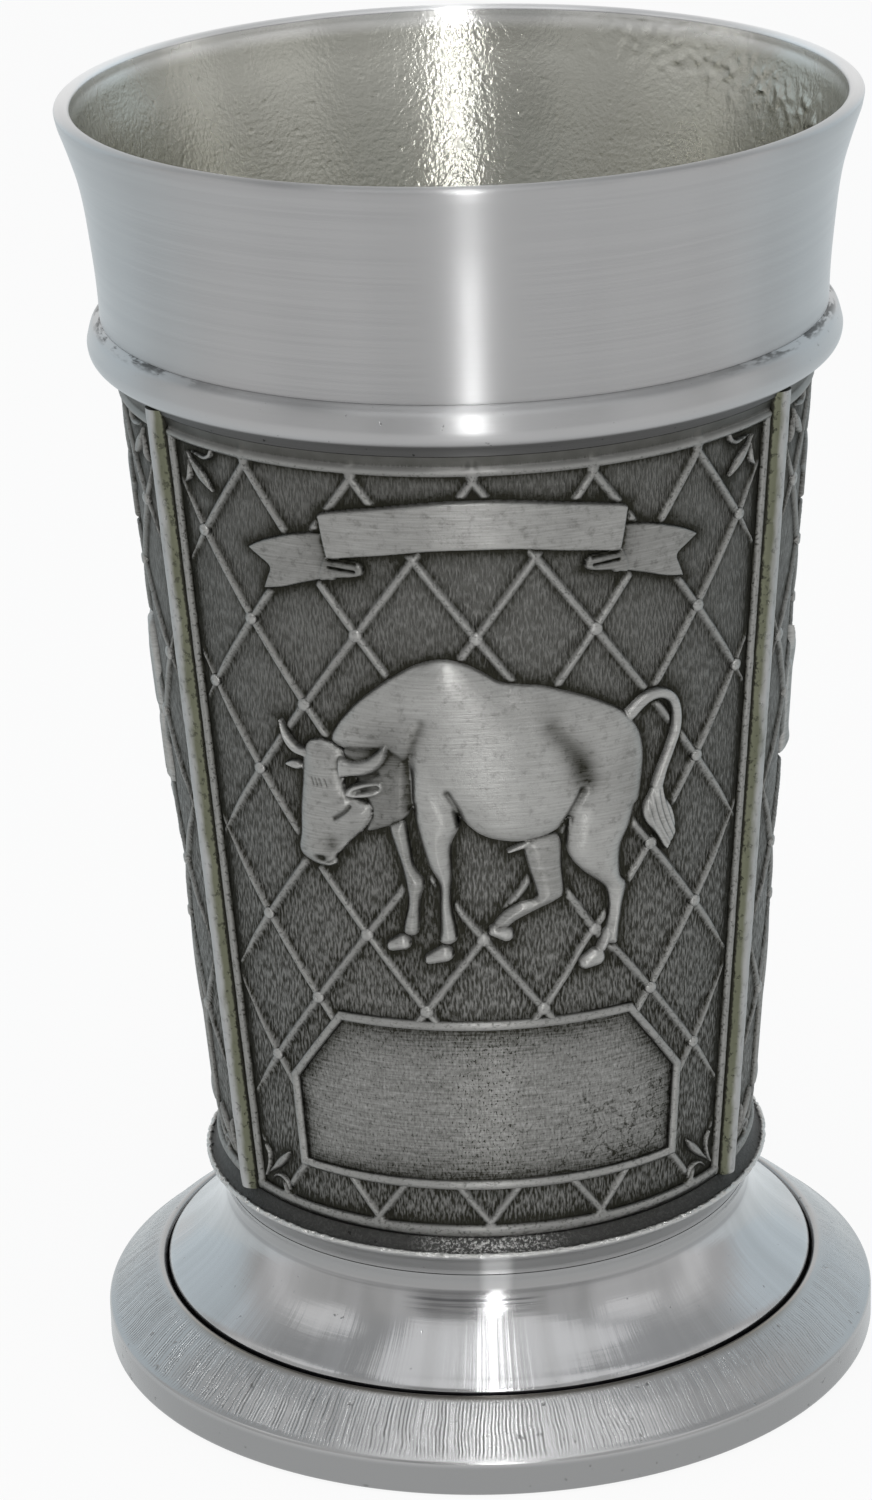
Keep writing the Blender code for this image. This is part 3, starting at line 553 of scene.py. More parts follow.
# %% Creases of the trunk
bull = melt(body, legs, 0.35)
high = bull > 0.4
flank = crease([(6.6, 74.2), (7.8, 72.4), (8.8, 70.6), (9.6, 68.6)], 1.15)
shoulder_line = crease([(-5.0, 75.0), (-5.9, 72.6), (-6.45, 69.5), (-6.45, 66.2)], 0.55)
elbow = crease([(-2.9, 68.2), (-2.1, 66.4), (-1.75, 64.7)], 0.34)
thigh = crease([(9.2, 67.6), (8.3, 65.6), (7.8, 64)], 0.38)
bull = bull - high * (0.55 * elbow + 0.5 * thigh + 0.3 * flank + 0.32 * shoulder_line)
bull = bull - high * (0.10 * crease([(-12.2, 74.4), (-8.5, 74.0), (-6.2, 74.8)], 0.8)
                      + 0.10 * crease([(2.5, 77), (4.5, 74), (5.5, 71)], 1.2)
                      + 0.12 * crease([(12.9, 71.8), (13.4, 68.5), (12.6, 65)], 0.9))
bull = np.maximum(bull, rest)
print("creases pressed in")

# %% [markdown]
# The head lies over the neck with a sharp edge, so it takes the place of what is under it and isn't melted
# in. Eye, nostril and mouth are small creases. The ear and the horns are laid on last.

# %% Head
head = part["head"]
face = 1.12 * swell(head, 2.0) + (head > 0) * (
    0.22 * spot(-14.8, 70.2, 1.6, 1.6) + 0.22 * spot(-15.3, 61.0, 1.2, 0.9)
    + 0.16 * spot(-11.6, 65.3, 1.3, 1.2) - 0.2 * spot(-13.6, 62.6, 0.9, 0.8))
eye = crease([(-13.5, 64.75), (-13.0, 65.1), (-12.4, 65.6), (-12.0, 66.1)], 0.2)
face = face - (head > 0) * (0.32 * eye - 0.14 * crease([(-14.0, 65.6), (-13.2, 66.0), (-12.5, 66.5)], 0.35))
nostril = spot(-15.05, 60.45, 0.50, 0.36)
mouth = crease([(-13.4, 60.7), (-14.0, 60.2), (-14.5, 59.9)], 0.14)
ticks = np.maximum.reduce([crease([(u, 68.6), (u + 0.2, 67.9)], 0.1) for u in (-15.6, -15.2, -14.8, -14.3)])
face = face - (head > 0) * (0.6 * nostril - 0.14 * spot(-15.05, 60.45, 0.75, 0.6) + 0.25 * mouth
                            + 0.12 * ticks)
bull = np.where(head > -0.05, np.where(head > 0, np.maximum(face, 0.25), np.minimum(bull, 0.4)), bull)
inner_ear = crease([(-11.4, 67.6), (-10.3, 68.05), (-9.3, 68.3)], 0.3) * (part["near_ear"] > 0)
ear = 1.45 * swell(part["near_ear"], 0.5) - 0.8 * inner_ear
horns = np.maximum.reduce([1.75 * swell(part["near_horn"], 0.6), 0.95 * swell(part["far_horn"], 0.4),
                           0.8 * swell(part["far_ear"], 0.35), ear])
under_horn = 0.35 * crease([(-12.6, 68.8), (-11, 68.9), (-9.3, 69.6)], 0.3) * (part["near_horn"] < 0)
bull = np.maximum(np.where(bull > 0.3, bull - under_horn, bull), horns)
print("bull up to", round(float(bull.max()), 2), "mm above the ground")

# %% [markdown]
# Dirt stays in hollows and along the foot of every edge; a cloth rubs the high places bright. The throat
# under the head is painted dark as shade, and neck, flank, rump and face are painted darker than hump and
# belly.

# %% Dirt on the bull
hollow = np.clip(2.2 * (pasture.spread(pasture.spread(bull, 0.35), 0.35) - bull), -1, 1)
bull_dirt_and_shade = 0.10 + 0.65 * np.maximum(hollow, 0) - 0.10 * np.maximum(-hollow, 0)
bull_dirt_and_shade += 0.45 * ease(0.36, 0.02, bull)
# Painted shade: the throat and dewlap between head and foreleg are darkened, the more the lower they lie.
shaded_throat = (part["dewlap"] > 0) & (head < 0) & (part["near_fore"] < 0)
bull_dirt_and_shade += 0.42 * np.where(shaded_throat, ease(1.25, 0.85, bull), 0)
bull_dirt_and_shade += 0.36 * spot(-8.2, 73.0, 3.4, 2.8) + 0.30 * shoulder_line
bull_dirt_and_shade += 0.50 * flank + 0.34 * spot(9.2, 70.0, 1.5, 2.4)
bull_dirt_and_shade += 0.22 * spot(13.6, 68, 2.2, 5) + 0.20 * spot(4.5, 76, 3.0, 1.6) + 0.25 * elbow + 0.3 * thigh
bull_dirt_and_shade += 0.16 * ease(0, 0.6, head) + 0.3 * eye + 1.1 * nostril + 0.3 * ticks * (head > 0) + 0.4 * mouth
bull_dirt_and_shade += 0.38 * spot(-13.9, 62.0, 0.7, 0.9) + 0.2 * (np.maximum(part["far_fore"], part["far_hind"]) > 0)
bull_dirt_and_shade = np.clip(bull_dirt_and_shade, 0, 1)
print("mean dirt on the bull", round(float(bull_dirt_and_shade[bull > 0].mean()), 2))

# %% [markdown]
# ### Ribbon
# The ribbon is bare. Its ends fold back and lie lower, with two slits where the folds pass behind each
# other. Only the left half is drawn; the right one mirrors it.

# %% Outlines of the ribbon
half_band = [(0, 95.9), (-4, 95.7), (-8, 95.2), (-12, 94.6), (-14.05, 94.1), (-14.1, 93.4), (-13.85, 91.8),
             (-13.45, 90.0), (-13.1, 89.85), (-11, 90.2), (-8, 90.6), (-4, 91.1), (0, 91.2)]
ribbon_outlines = {
    "band": half_band + mirrored(half_band[-2:0:-1]),
    "tail": [(-12.5, 92.4), (-14.2, 92.3), (-17, 91.8), (-20, 90.8), (-21.7, 89.9), (-21.6, 89.7),
             (-20.4, 89.0), (-19.4, 88.3), (-19.7, 87.3), (-20.1, 86.2), (-19.8, 86.1), (-18, 86.5),
             (-16, 87.2), (-14, 87.8), (-12.5, 88.2)],
    "fold": [(-13.6, 90.1), (-12, 89.95), (-10.5, 89.8), (-10.0, 89.3), (-10.1, 88.6), (-11, 88.3),
             (-12.5, 88.1), (-14.2, 87.8)]}


def ribbon_depths(sheet):
    depths = {name: sheet.inside(outline, 4) for name, outline in ribbon_outlines.items()}
    for name in ("tail", "fold"):
        depths[name] = np.maximum(depths[name], sheet.inside(mirrored(ribbon_outlines[name]), 4))
    return depths


print("ribbon drawn with", len(ribbon_outlines), "outlines")

# %% [markdown]
# The middle band lies on top. Its ends come out from behind it, so they are lower, and they sink beside its
# edge, where they are also painted darker as shade. The slits are pressed in last.

# %% Heights of the ribbon
sky = fine_sheet(-22.2, 22.3, 85.6, 96.4)
strip_part = ribbon_depths(sky)
band, tails, folds = strip_part["band"], strip_part["tail"], strip_part["fold"]
lump = uneven(sky.u, sky.z, 0 * sky.u, 3.0, 2)
ribbon = np.where(band > 0, (0.86 + 0.05 * np.cos(sky.u / 14 * math.pi) + 0.03 * lump) * swell(band, 0.3), -1)
sunk = 0.28 * np.exp(-np.clip(-band, 0, 9) / 0.9)
behind = np.maximum(0.66 * swell(tails, 0.28) - sunk, 0.74 * swell(folds, 0.3))
ends = np.maximum(tails, folds)
slits = [[(-13.3, 89.85), (-12, 89.75), (-10.7, 89.6)], [(-13.2, 89.1), (-12, 89.0), (-10.8, 88.9)]]
slit = np.maximum.reduce([sky.crease(line, 0.13) for line in slits + [mirrored(line) for line in slits]])
ribbon = np.maximum(ribbon, np.where(ends > 0, np.maximum(behind, 0.08), 2.5 * ends))
ribbon = np.where(ribbon > 0.1, np.maximum(ribbon - 0.5 * slit * (band < 0.2), 0.05), ribbon)
hollow = np.clip(2.2 * (sky.spread(sky.spread(ribbon, 0.3), 0.3) - ribbon), -1, 1)
# Painted shade: the ribbon's ends are darker, most of all beside the band's edge.
ribbon_dirt_and_shade = np.clip(0.26 + 0.7 * np.maximum(hollow, 0) + 0.5 * ease(0.5, 0.1, ribbon) + 0.5 * slit
                      + 0.12 * (band < 0) + 0.35 * np.exp(-np.clip(-band, 0, 9) / 0.8) * (band < 0), 0, 1)
print("ribbon up to", round(float(ribbon.max()), 2), "mm")

# %% [markdown]
# ### Corner sprigs
# Three small leaves grow from each corner of the frame. Each is a tapered rod, and the right-hand ones
# mirror the left.

# %% Sprigs
upper_leaves = [[(-28.6, 97.35, 0.10), (-27.6, 97.2, 0.18), (-26.8, 97.12, 0.25), (-26.1, 97.45, 0.28),
                 (-25.85, 98.0, 0.2)],
                [(-29.3, 97.2, 0.10), (-28.6, 96.4, 0.24), (-27.8, 95.65, 0.44), (-27.0, 94.95, 0.44),
                 (-25.9, 94.05, 0.12)],
                [(-29.1, 96.4, 0.08), (-29.15, 95.5, 0.2), (-29.2, 94.8, 0.3), (-29.7, 94.2, 0.12)]]
lower_leaves = [[(-25.1, 23.1, 0.13), (-24.6, 24.0, 0.18), (-24.35, 25.0, 0.16), (-24.35, 25.85, 0.2),
                 (-24.85, 26.5, 0.12)],
                [(-24.4, 23.7, 0.10), (-23.5, 24.5, 0.28), (-22.7, 25.3, 0.44), (-22.0, 26.05, 0.42),
                 (-21.4, 26.8, 0.16)],
                [(-24.2, 22.95, 0.08), (-23.5, 23.6, 0.15), (-22.8, 23.85, 0.18), (-22.1, 23.7, 0.2),
                 (-21.6, 23.25, 0.2), (-21.55, 22.7, 0.12)]]
corner_sheets = [fine_sheet(-30.4, -24.8, 93.2, 98.4), fine_sheet(24.8, 30.4, 93.2, 98.4),
                 fine_sheet(-25.6, -20.6, 22.3, 27.5), fine_sheet(20.6, 25.6, 22.3, 27.5)]
corner_leaves = [upper_leaves, [mirrored(leaf) for leaf in upper_leaves], lower_leaves,
                 [mirrored(leaf) for leaf in lower_leaves]]
corner_heights = []
for sheet, leaves in zip(corner_sheets, corner_leaves):
    depth = np.maximum.reduce([sheet.rod(leaf) for leaf in leaves])
    corner_heights.append(0.46 * swell(depth, 0.36))
print("sprigs in", len(corner_sheets), "corners")

# %% [markdown]
# ### Name plate's rim
# A half-round bar runs round the plate with mitred corners. Offsetting the corners along the mitre gives
# every line of its section, and each line is cut into short pieces so that it can bend round the cone.

# %% Rim of the plate
plate_corners = [(-14.15, 43.5), (14.15, 43.5), (19.8, 35.9), (19.2, 26.6), (-19.2, 26.6), (-19.8, 35.9)]
RIM_HALF, RIM_HEIGHT = 0.5, 0.52


def offset_corner(i, offset):
    """A corner of the plate moved outwards by an offset of both its sides."""
    here, before, after = (np.array(plate_corners[(i + k) % 6]) for k in (0, -1, 1))
    normals = []
    for a, b in ((before, here), (here, after)):
        along = (b - a) / np.linalg.norm(b - a)
        normals.append(np.array([-along[1], along[0]]))
    mitre = normals[0] + normals[1]
    return here + mitre * offset / (1 + normals[0] @ normals[1])


rim_section = [(-RIM_HALF * math.cos(math.pi * k / 10), RIM_HEIGHT * math.sin(math.pi * k / 10))
               for k in range(11)]
rim_section = [(-RIM_HALF, -0.3)] + rim_section + [(RIM_HALF, -0.3)]
rim_lines = []
for offset, height in rim_section:
    corners = [offset_corner(i, offset) for i in range(6)]
    line = [a + (b - a) * t for a, b in zip(corners, corners[1:] + corners[:1]) for t in np.arange(40) / 40]
    rim_lines.append([(p[0], p[1], height) for p in line])
rim_lines = np.array(rim_lines)
print("rim:", rim_lines.shape[0], "lines of", rim_lines.shape[1], "points")

# %% [markdown]
# ### Ground of the panel
# The ground's sheet is coarser. It is laid out so that the lattice's bars run exactly along the diagonals
# of its cells; otherwise they would look like stairs. Beside the frame's ribs it gets narrow strips that
# follow the slanting edge instead.

# %% Sheet of the ground
CELL_WIDTH, CELL_HEIGHT, LATTICE_TOP = 10.95, 15.0, 97.5
BULL_DROP, RIBBON_DROP = 0.5, 0.2
FINE = 27
step_u, step_z = CELL_WIDTH / 2 / FINE, CELL_HEIGHT / 2 / FINE
rows = np.concatenate([np.linspace(panel_top, LATTICE_TOP, 14)[:-1],
                       LATTICE_TOP - step_z * np.arange(10 * FINE + 1),
                       np.linspace(LATTICE_TOP - 5 * CELL_HEIGHT, panel_base, 15)[1:]])
seam = cone(rows) * math.pi / 3
EDGE_FROM_SEAM, STRIP_FROM_SEAM = 1.42, 3.4
edge, strip = seam - EDGE_FROM_SEAM, seam - STRIP_FROM_SEAM
STRIPS = 13
reach = int(strip.max() / step_u) + 1
middle_u = np.clip(step_u * np.arange(-reach, reach + 1)[None, :], -strip[:, None], strip[:, None])
share = np.arange(STRIPS)[None, :] / STRIPS
right_u = edge[:, None] + (strip - edge)[:, None] * share
U = np.concatenate([-right_u, middle_u, right_u[:, ::-1]], 1)
Z = rows[:, None] + 0 * U
to_seam = seam[:, None] - np.abs(U)
field_sheet = Sheet(U, Z, step_u, step_z)
figure = np.maximum.reduce(list(bull_depths(Sheet(U, Z + BULL_DROP, step_u, step_z)).values()))
banner = np.maximum.reduce(list(ribbon_depths(Sheet(U, Z + RIBBON_DROP, step_u, step_z)).values()))
leaf = np.maximum.reduce([field_sheet.rod(points) for leaves in corner_leaves for points in leaves])
print("ground:", U.shape, "cells", round(step_u, 3), "by", round(step_z, 3), "mm")

# %% [markdown]
# The name plate lies a little lower than its rim. A place is inside it when it lies inside all six sides,
# so the least of the six distances says how deep inside it is.

# %% Plate
plate_in = np.full(U.shape, 99.0)
for a, b in zip(plate_corners, plate_corners[1:] + plate_corners[:1]):
    from_side = (b[1] - a[1]) * (U - a[0]) - (b[0] - a[0]) * (Z - a[1])
    plate_in = np.minimum(plate_in, from_side / math.dist(a, b))
plate = np.where(plate_in > 0, 0.12 * ease(0.3, 1.6, plate_in), 0)
print("greatest depth inside the plate", round(float(plate_in.max()), 1), "mm")

# %% [markdown]
# The lattice is two families of parallel bars, so its distance comes from the fraction of a linear
# expression. Bars end short of the figure and the ribbon, grow thin towards the side ribs, and meet the
# head's ridge in a short stub.

# %% Lattice
ridge_top, ridge_base = 98.42, 21.85
BAR_HEIGHT = 0.40
slope = math.hypot(1 / CELL_WIDTH, 1 / CELL_HEIGHT)
bent_u = U + 0.5 * field_sheet.spot(9.6, 51.5, 3.5)
rising = bent_u / CELL_WIDTH + (LATTICE_TOP - Z) / CELL_HEIGHT
falling = bent_u / CELL_WIDTH - (LATTICE_TOP - Z) / CELL_HEIGHT
bar_away = np.minimum(abs(rising - np.round(rising)), abs(falling - np.round(falling))) / slope
node_u = (np.round(rising) + np.round(falling)) / 2 * CELL_WIDTH
node_z = LATTICE_TOP - (np.round(rising) - np.round(falling)) / 2 * CELL_HEIGHT
hoofs = ease(54, 52.5, Z)
clear = ease(0.10 - 0.2 * hoofs, 0.5 - 0.35 * hoofs, -figure) * ease(0.05, 0.4, -banner)
clear = clear * ease(0.0, 0.3, -plate_in) * ease(0.0, 0.4, -leaf)
corner = np.maximum(ease(2.6, 0.8, np.hypot(abs(U) - 27.9, Z - 96.2)),
                    ease(2.6, 0.8, np.hypot(abs(U) - 23.6, Z - 24.5)))
full = ease(3.2, 6.2, to_seam)
bar_width = 0.16 + 0.22 * full
bars = BAR_HEIGHT * ease(2.4, 3.2, to_seam) * (0.6 + 0.4 * full)
bars = bars * np.clip(1 - (bar_away / bar_width) ** 2, 0, 1) ** 0.6
stub = BAR_HEIGHT * np.clip(1 - ((bent_u - node_u) / 0.55) ** 2, 0, 1) ** 0.6
bars = np.where(Z > LATTICE_TOP, stub * (abs(node_z - LATTICE_TOP) < 1), bars)
between_legs = ease(0.5, 0.15, field_sheet.spot(-5.7, 61.2, 1.3, 3.2))
lattice = bars * clear * (1 - 0.9 * corner) * between_legs * ease(ridge_base - 0.1, ridge_base + 0.1, Z)
print("bars up to", round(float(lattice.max()), 2), "mm")

# %% [markdown]
# Where bars cross in the open field, a round bead sits on them. The grid places nearest to such a crossing
# tell where the beads go.

# %% Crossings with a bead
bead_away = np.hypot(bent_u - node_u, Z - node_z)
beaded = (node_z < LATTICE_TOP - 4) & (node_z > LATTICE_TOP - 71)
beaded = beaded & (cone(node_z) * math.pi / 3 - abs(node_u) > 3.9) & (banner < -0.9)
at_node = beaded & (bead_away < 0.15) & (clear * between_legs > 0.6)
crossing_u = node_u[at_node] - (bent_u - U)[at_node].round(1)
nodes = sorted({(round(u, 3), round(z, 3)) for u, z in zip(crossing_u, node_z[at_node])})
print("beads on the lattice:", len(nodes))

# %% [markdown]
# ### Frame
# A rib runs up each side, and a ridge closes the frame at its head and at its foot. Above the head a hollow
# rises to the upper bead. Below the foot lies a rough gutter.

# %% Frame
side_rib = 0.50 * np.sqrt(np.clip(1 - ((to_seam - 1.87) / 0.41) ** 2, 0, 1))
between = ease(1.4, 1.6, to_seam)
top_rib = 0.54 * np.sqrt(np.clip(1 - ((Z - ridge_top) / 0.45) ** 2, 0, 1))
base_half = np.where(Z > ridge_base, 0.40, 0.85)
base_rib = 0.50 * np.sqrt(np.clip(1 - ((Z - ridge_base) / base_half) ** 2, 0, 1))
cove_share = np.clip((Z - ridge_top) / (panel_top - ridge_top), 0, 1)
cove = np.where(Z > ridge_top, 0.08 + 0.42 * cove_share ** 1.5, 0)
framed = np.where((Z < ridge_top) & (Z > ridge_base - 0.5), side_rib, 0)
border = np.maximum.reduce([framed, top_rib * between, base_rib * between, cove])
in_gutter = ease(ridge_base - 0.75, ridge_base - 0.92, Z)
print("frame up to", round(float(border.max()), 2), "mm")

# %% [markdown]
# ### Heights and dirt
# All heights are now laid over each other. A slightly uneven ground keeps the casting from looking like a
# drawing.

# %% Height of the ground
relief = np.maximum.reduce([border, lattice, plate])
wavy = uneven(U, Z, 0 * U, 2.2, 3)
grain = uneven(U * 2.4, Z * 0.9, 0 * U + 7, 0.9, 2)
crumbly = uneven(U, Z * 1.5, 0 * U + 3, 0.8, 3)
ground = (relief < 0.05) & (Z > ridge_base) & (Z < ridge_top)
relief = relief + 0.02 * wavy + np.where(ground, 0.03 * grain, 0.008 * grain) + 0.08 * in_gutter * crumbly
print("relief from", round(float(relief.min()), 2), "to", round(float(relief.max()), 2), "mm")

# %% [markdown]
# The same heights tell where dirt stays and where a cloth rubs. Dirt lies in a moat round everything that
# stands up, beside the bars and above the foot's ridge. It goes to the shader as a mesh attribute, which
# costs no texture.

# %% Dirt of the ground
hollow = np.clip(1.6 * (field_sheet.spread(field_sheet.spread(relief, 0.45), 0.45) - relief), -1, 1)
stands = ease(0.08, 0.26, relief)
nearest = np.minimum.reduce([-figure, -banner, -leaf, abs(plate_in) + 0.2, to_seam - 2.3,
                             ridge_top - Z, Z - ridge_base])
moat = np.exp(-np.clip(nearest - 0.2, 0, 9) / 0.75)
beside_bar = np.exp(-np.clip(bar_away - bar_width, 0, 9) / 0.45) * clear * (1 - corner)
over_base = np.exp(-np.clip(Z - ridge_base - 0.45, 0, 99) / 0.6) * (Z > ridge_base)
beside_rib = ease(1.5, 0.3, to_seam - 2.3) * (Z < ridge_top)
dirt = 0.70 - 0.32 * stands + 0.35 * np.maximum(hollow, 0) - 0.3 * np.maximum(-hollow, 0)
dirt += (0.32 * moat + 0.16 * beside_bar + 0.30 * over_base + 0.22 * beside_rib) * (1 - stands)
even = np.maximum.reduce([stands, 0.6 * moat, 0.95 * over_base, 0.8 * beside_rib])
print("mean dirt of the ground", round(float(dirt.mean()), 2))

# %% [markdown]
# Four places have dirt of their own: the lower flank of the foot's ridge, the plate, which is dark along its
# rim and painted a little darker in its middle as shade over its highlight, the hollow above the head, and
# the gutter, whose worn patches are painted lighter in the middle of each panel as lamp light.

# %% Dirt of flank, plate, hollow and gutter
crumbs = 0.25 * ease(0.0, 0.35, uneven(U, Z * 1.5, 0 * U + 11, 0.45, 2))
rib_flank = (Z < ridge_base) & (Z > ridge_base - 0.75)
flank_dirt = np.minimum(dirt, 0.40) + crumbs * ease(ridge_base - 0.1, ridge_base - 0.4, Z)
dirt = np.where(rib_flank, flank_dirt, dirt)
in_plate = plate_in > RIM_HALF
along_rim = np.exp(-np.clip(plate_in - RIM_HALF, 0, 99) / 1.5)
# Painted shade: the plate's middle is made a little darker, besides the dark along its rim.
dirt = np.where(in_plate, 0.37 + 0.06 * np.exp(-(U / 6) ** 2) + 0.55 * along_rim, dirt)
dirt = np.where(Z > ridge_top + 0.4, 0.76, dirt)
# Painted light: the gutter's worn patches are lighter towards the middle of each panel.
worn_and_lit_patch = ease(0.2, 0.5, crumbly) * np.exp(-(U / 4) ** 2)
gutter_dirt = 0.62 - 0.2 * ease(0.1, 0.5, crumbly) - 0.3 * worn_and_lit_patch
dirt = np.clip(dirt * (1 - in_gutter) + in_gutter * gutter_dirt, 0, 1)
print("mean dirt of the panel", round(float(dirt.mean()), 2))

# %% [markdown]
# ### From drawing to metal
# Points that fall on each other at the slanting edge become one. Each cell is cut along the diagonal that
# has the smaller step, so ridges follow the cut.

# %% Faces of the panel's front
count_rows, count_columns = U.shape
owner = np.arange(count_columns)[None, :] + np.zeros((count_rows, 1), int)
first, last = STRIPS, STRIPS + 2 * reach
held = np.abs(middle_u) >= strip[:, None] - 1e-9
owner[:, first:last + 1] = np.where(held & (middle_u < 0), first,
                                    np.where(held, last, owner[:, first:last + 1]))
keys = np.arange(count_rows)[:, None] * count_columns + owner
used, number = np.unique(keys, return_inverse=True)
number = number.reshape(U.shape)
a, b, c, d = number[:-1, :-1], number[:-1, 1:], number[1:, 1:], number[1:, :-1]
along = np.abs(relief[:-1, :-1] - relief[1:, 1:]) < np.abs(relief[:-1, 1:] - relief[1:, :-1])
one = np.where(along[..., None], np.stack([a, d, c], -1), np.stack([a, d, b], -1)).reshape(-1, 3)
two = np.where(along[..., None], np.stack([a, c, b], -1), np.stack([b, d, c], -1)).reshape(-1, 3)
front = np.concatenate([one, two])
front = front[(front[:, 0] != front[:, 1]) & (front[:, 1] != front[:, 2]) & (front[:, 0] != front[:, 2])]
print("front of the panel:", len(used), "points,", len(front), "triangles")

# %% [markdown]
# Rolling keeps lengths: a place u millimetres to the side turns by u divided by the cone's radius there. A
# plain back and four walls close the casting, so that it has a thickness like the real one.


# %% Roll the panel on its cone and close it
def rolled(u, z, height):
    """Point on the cone, in metres, for a place on the flat panel and a height above the panel's ground."""
    radius = field_radius(z) + height
    angle = u / cone(z)
    return np.stack([radius * np.sin(angle), -radius * np.cos(angle), z], -1) * MM


BACK_COLUMNS, PANEL_THICKNESS = 24, 0.75
back_columns = np.round(np.linspace(0, count_columns - 1, BACK_COLUMNS + 1)).astype(int)
front_points = rolled(U, Z, relief).reshape(-1, 3)[used]
back_u = edge[:, None] * np.linspace(-1, 1, BACK_COLUMNS + 1)[None, :]
back_points = rolled(back_u, rows[:, None] + 0 * back_u, -PANEL_THICKNESS + 0 * back_u).reshape(-1, 3)
back_number = len(used) + np.arange(back_u.size).reshape(back_u.shape)
faces = front.tolist()
for i in range(count_rows - 1):
    for j in range(BACK_COLUMNS):
        faces.append([int(back_number[p]) for p in ((i, j), (i, j + 1), (i + 1, j + 1), (i + 1, j))])
    for column, back, turn in ((0, 0, 1), (-1, -1, -1)):
        wall = [number[i, column], back_number[i, back], back_number[i + 1, back], number[i + 1, column]]
        faces.append([int(n) for n in wall[::turn]])
for i, turn in ((0, 1), (-1, -1)):
    for j in range(BACK_COLUMNS):
        run = [int(n) for n in number[i, back_columns[j]:back_columns[j + 1] + 1]]
        run = [n for k, n in enumerate(run) if k == 0 or n != run[k - 1]]
        faces.append((run + [int(back_number[i, j + 1]), int(back_number[i, j])])[::turn])
panel_points = np.concatenate([front_points, back_points])
print("closed panel:", len(panel_points), "points,", len(faces), "faces")

# %% [markdown]
# The three panels are castings from one mould, so one mesh is made and copied. The turn goes into the
# copy's own points, because every piece keeps the part's frame. What the finish needs to know rides along
# as attributes.


# %% Three panels from one mould
def give_attribute(mesh, name, values, kind="FLOAT"):
    layer = mesh.attributes.new(name, kind, "POINT")
    field = "vector" if kind == "FLOAT_VECTOR" else "value"
    layer.data.foreach_set(field, np.ravel(values).astype(np.float32))


def over_all(field, filler):
    """Values of a field for the front's points, and a filler for the back's."""
    return np.concatenate([field.reshape(-1)[used], np.full(back_u.size, filler)])


first_panel = add_mesh("panel_front", panel_points.tolist(), faces, 60)
# The stored dirt also holds the painted shade of the plate's middle and the painted light of the gutter.
give_attribute(first_panel.data, "dirt", over_all(dirt, 0.8))
give_attribute(first_panel.data, "figured", over_all(0 * U, 0))
give_attribute(first_panel.data, "stands", over_all(even, 0))
give_attribute(first_panel.data, "plain", over_all(in_plate.astype(float), 0))
drawn = np.stack([over_all(field, 0) for field in (U, Z, relief)], -1)
give_attribute(first_panel.data, "drawn", drawn, "FLOAT_VECTOR")


def turned_copy(piece, name, angle):
    """A copy of a piece, turned about the axis in its own points."""
    mesh = piece.data.copy()
    mesh.transform(Matrix.Rotation(angle, 4, "Z"))
    copy = bpy.data.objects.new(name, mesh)
    bpy.context.scene.collection.objects.link(copy)
    return copy


def threefold(first, names):
    """A piece and its two copies, a third of a turn apart."""
    return [first] + [turned_copy(first, name, (i + 1) * third) for i, name in enumerate(names)]


third = 2 * math.pi / 3
panels = threefold(first_panel, ("panel_right", "panel_left"))
for panel, side in zip(panels, ("front", "right", "left")):
    stand_for(panel, f"relief_panel_{side}")

# %% [markdown]
# ### Figures
# Bull, ribbon, sprigs and rim are finer than the ground, so they make a mesh of their own that sinks a
# little into it, as a figure chased on a casting seems to grow from it.

# %% Collect the figures
figure_points, figure_faces = [], []
figure_values = {"dirt": [], "figured": [], "drawn": []}


def add_figure(sheet_u, sheet_z, height, grime_and_shading, polish, keep, drop=0.0):
    """Add a grid of points with its kept cells to the figures, set lower on the panel by a drop."""
    base = sum(len(block) for block in figure_points)
    place_in = base + np.arange(height.size).reshape(height.shape)
    corners = [place_in[:-1, :-1], place_in[1:, :-1], place_in[1:, 1:], place_in[:-1, 1:]]
    figure_faces.append(np.stack([c[keep] for c in corners], -1))
    figure_points.append(rolled(sheet_u, sheet_z - drop, height).reshape(-1, 3))
    for name, field in (("dirt", grime_and_shading), ("figured", polish)):
        figure_values[name].append(np.ravel(field + 0 * height))
    figure_values["drawn"].append(np.stack([sheet_u, sheet_z, height], -1).reshape(-1, 3))


def open_grid(rows, columns):
    """Every cell of a grid is kept."""
    return np.ones((rows - 1, columns - 1), bool)


print("each point of a figure has", ", ".join(figure_values))

# %% [markdown]
# Bull, ribbon and sprigs come from their sheets; cells that lie deep under the ground are dropped. The
# plate's rim comes from its lines, and every bead on the lattice is a small dome of rings.

# %% Grids of the figures
BULL_SCALE, RIBBON_SCALE = 0.84, 0.72
# The grime of bull and ribbon holds their painted shade as well as their dirt.
drawings = [(pasture, BULL_SCALE * bull, bull_dirt_and_shade, 1.0, BULL_DROP),
            (sky, RIBBON_SCALE * ribbon, ribbon_dirt_and_shade, 1.0, RIBBON_DROP)]
drawings += [(sheet, height, np.clip(0.28 + 0.6 * ease(0.3, 0.08, height), 0, 1), 0.3, 0.0)
             for sheet, height in zip(corner_sheets, corner_heights)]
for sheet, height, grime_and_shading, polish, drop in drawings:
    tall = np.maximum.reduce([height[:-1, :-1], height[1:, :-1], height[1:, 1:], height[:-1, 1:]])
    add_figure(sheet.u, sheet.z, np.clip(height, -0.3, 9), grime_and_shading, polish, tall > -0.12, drop)
closed = np.concatenate([rim_lines, rim_lines[:, :1]], 1)
bar_dirt = 0.24 + 0.6 * ease(0.36, 0.08, closed[..., 2])
add_figure(closed[..., 0], closed[..., 1], closed[..., 2], bar_dirt, 0.3, open_grid(*closed.shape[:2]))
BEAD_RADIUS, BEAD_SIDES = 0.66, 18
